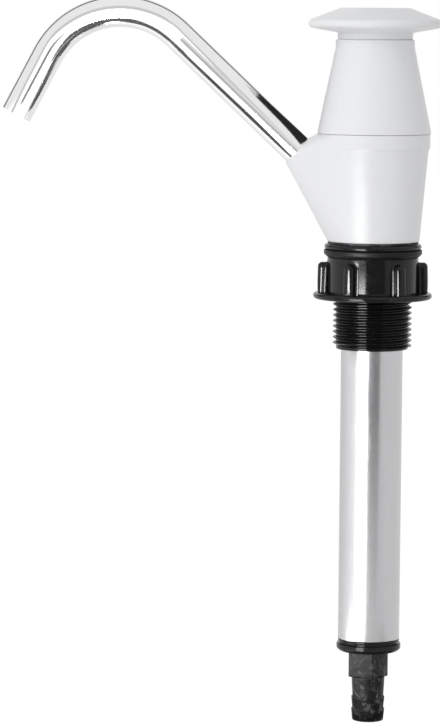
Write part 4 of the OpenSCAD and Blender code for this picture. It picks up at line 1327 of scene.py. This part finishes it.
class PUMP_OT_inner(bpy.types.Operator):
    """Models the wiper round the rod and gives the carried-over inner pieces their finishes"""
    bl_idname = "pump.inner"
    bl_label = "Wiper and inner pieces"

    def execute(self, context):
        c, b = context.scene.pump_cap, context.scene.pump_barrel
        low, high = c.top_z - c.wiper_low, c.top_z - c.wiper_high
        outer, lip = c.guide_radius - SEAT_GAP, b.rod_radius + SLIDE_GAP
        wiper = turned("wiper_ring", [
            (outer, low, 0.1 * MM), (outer, high, 0.15 * MM),
            (lip + c.wiper_slope, (low + high) / 2, 0.3 * MM),
            (lip, high, 0.15 * MM), (lip, low, 0.1 * MM)], segments=SMALL_SEGMENTS)
        finish(wiper, "head", "rubber", "rod_wiper")
        for slot, nodes in (
                ("steel", ("knob_screw", "valve_stop_washer", "piston_nut", "snap_ring",
                           "inlet_valve_ball")),
                ("inner_plastic", ("rod_guide", "valve_cage", "piston_body")),
                ("dark_plastic", ("stroke_stop",)),
                ("brass", ("gland_nut",)),
                ("rubber", ("piston_cup_seal", "piston_valve_disc", "rod_seal", "spout_seal",
                            "swivel_seal", "barrel_gasket", "foot_plug_seal"))):
            for node in nodes:
                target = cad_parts[node]
                target.data.materials.clear()
                target.data.materials.append(look(slot))
        return {"FINISHED"}


# ---- Panel and registration ----

STEPS = (PUMP_OT_stage, PUMP_OT_knob, PUMP_OT_cap, PUMP_OT_head, PUMP_OT_spout, PUMP_OT_sleeve,
         PUMP_OT_nut, PUMP_OT_barrel, PUMP_OT_foot, PUMP_OT_inner)
GROUPS_OF_SIZES = {
    "pump_knob": PUMP_PG_knob, "pump_cap": PUMP_PG_cap, "pump_head": PUMP_PG_head,
    "pump_spout": PUMP_PG_spout, "pump_sleeve": PUMP_PG_sleeve, "pump_nut": PUMP_PG_nut,
    "pump_barrel": PUMP_PG_barrel, "pump_foot": PUMP_PG_foot, "pump_finish": PUMP_PG_finish,
    "pump_stage": PUMP_PG_stage,
}


class PUMP_PT_panel(bpy.types.Panel):
    """Lists the pump's pieces and their sizes"""
    bl_idname = "PUMP_PT_panel"
    bl_label = "Hand pump"
    bl_space_type = "VIEW_3D"
    bl_region_type = "UI"
    bl_category = "Hand pump"

    def draw(self, context):
        for step in STEPS:
            self.layout.operator(step.bl_idname, text=step.bl_label)
        for name, kind in GROUPS_OF_SIZES.items():
            box = self.layout.box()
            box.label(text=kind.__doc__)
            sizes = getattr(context.scene, name)
            for key in kind.__annotations__:
                box.prop(sizes, key)


def register():
    for kind in (*GROUPS_OF_SIZES.values(), *STEPS, PUMP_PT_panel):
        bpy.utils.register_class(kind)
    for name, kind in GROUPS_OF_SIZES.items():
        setattr(bpy.types.Scene, name, PointerProperty(type=kind))


def unregister():
    for name in GROUPS_OF_SIZES:
        delattr(bpy.types.Scene, name)
    for kind in reversed((*GROUPS_OF_SIZES.values(), *STEPS, PUMP_PT_panel)):
        bpy.utils.unregister_class(kind)


def main():
    register()
    for step in STEPS:
        group, name = step.bl_idname.split(".")
        getattr(getattr(bpy.ops, group), name)()
    deselect_all()


if __name__ == "__main__":
    main()
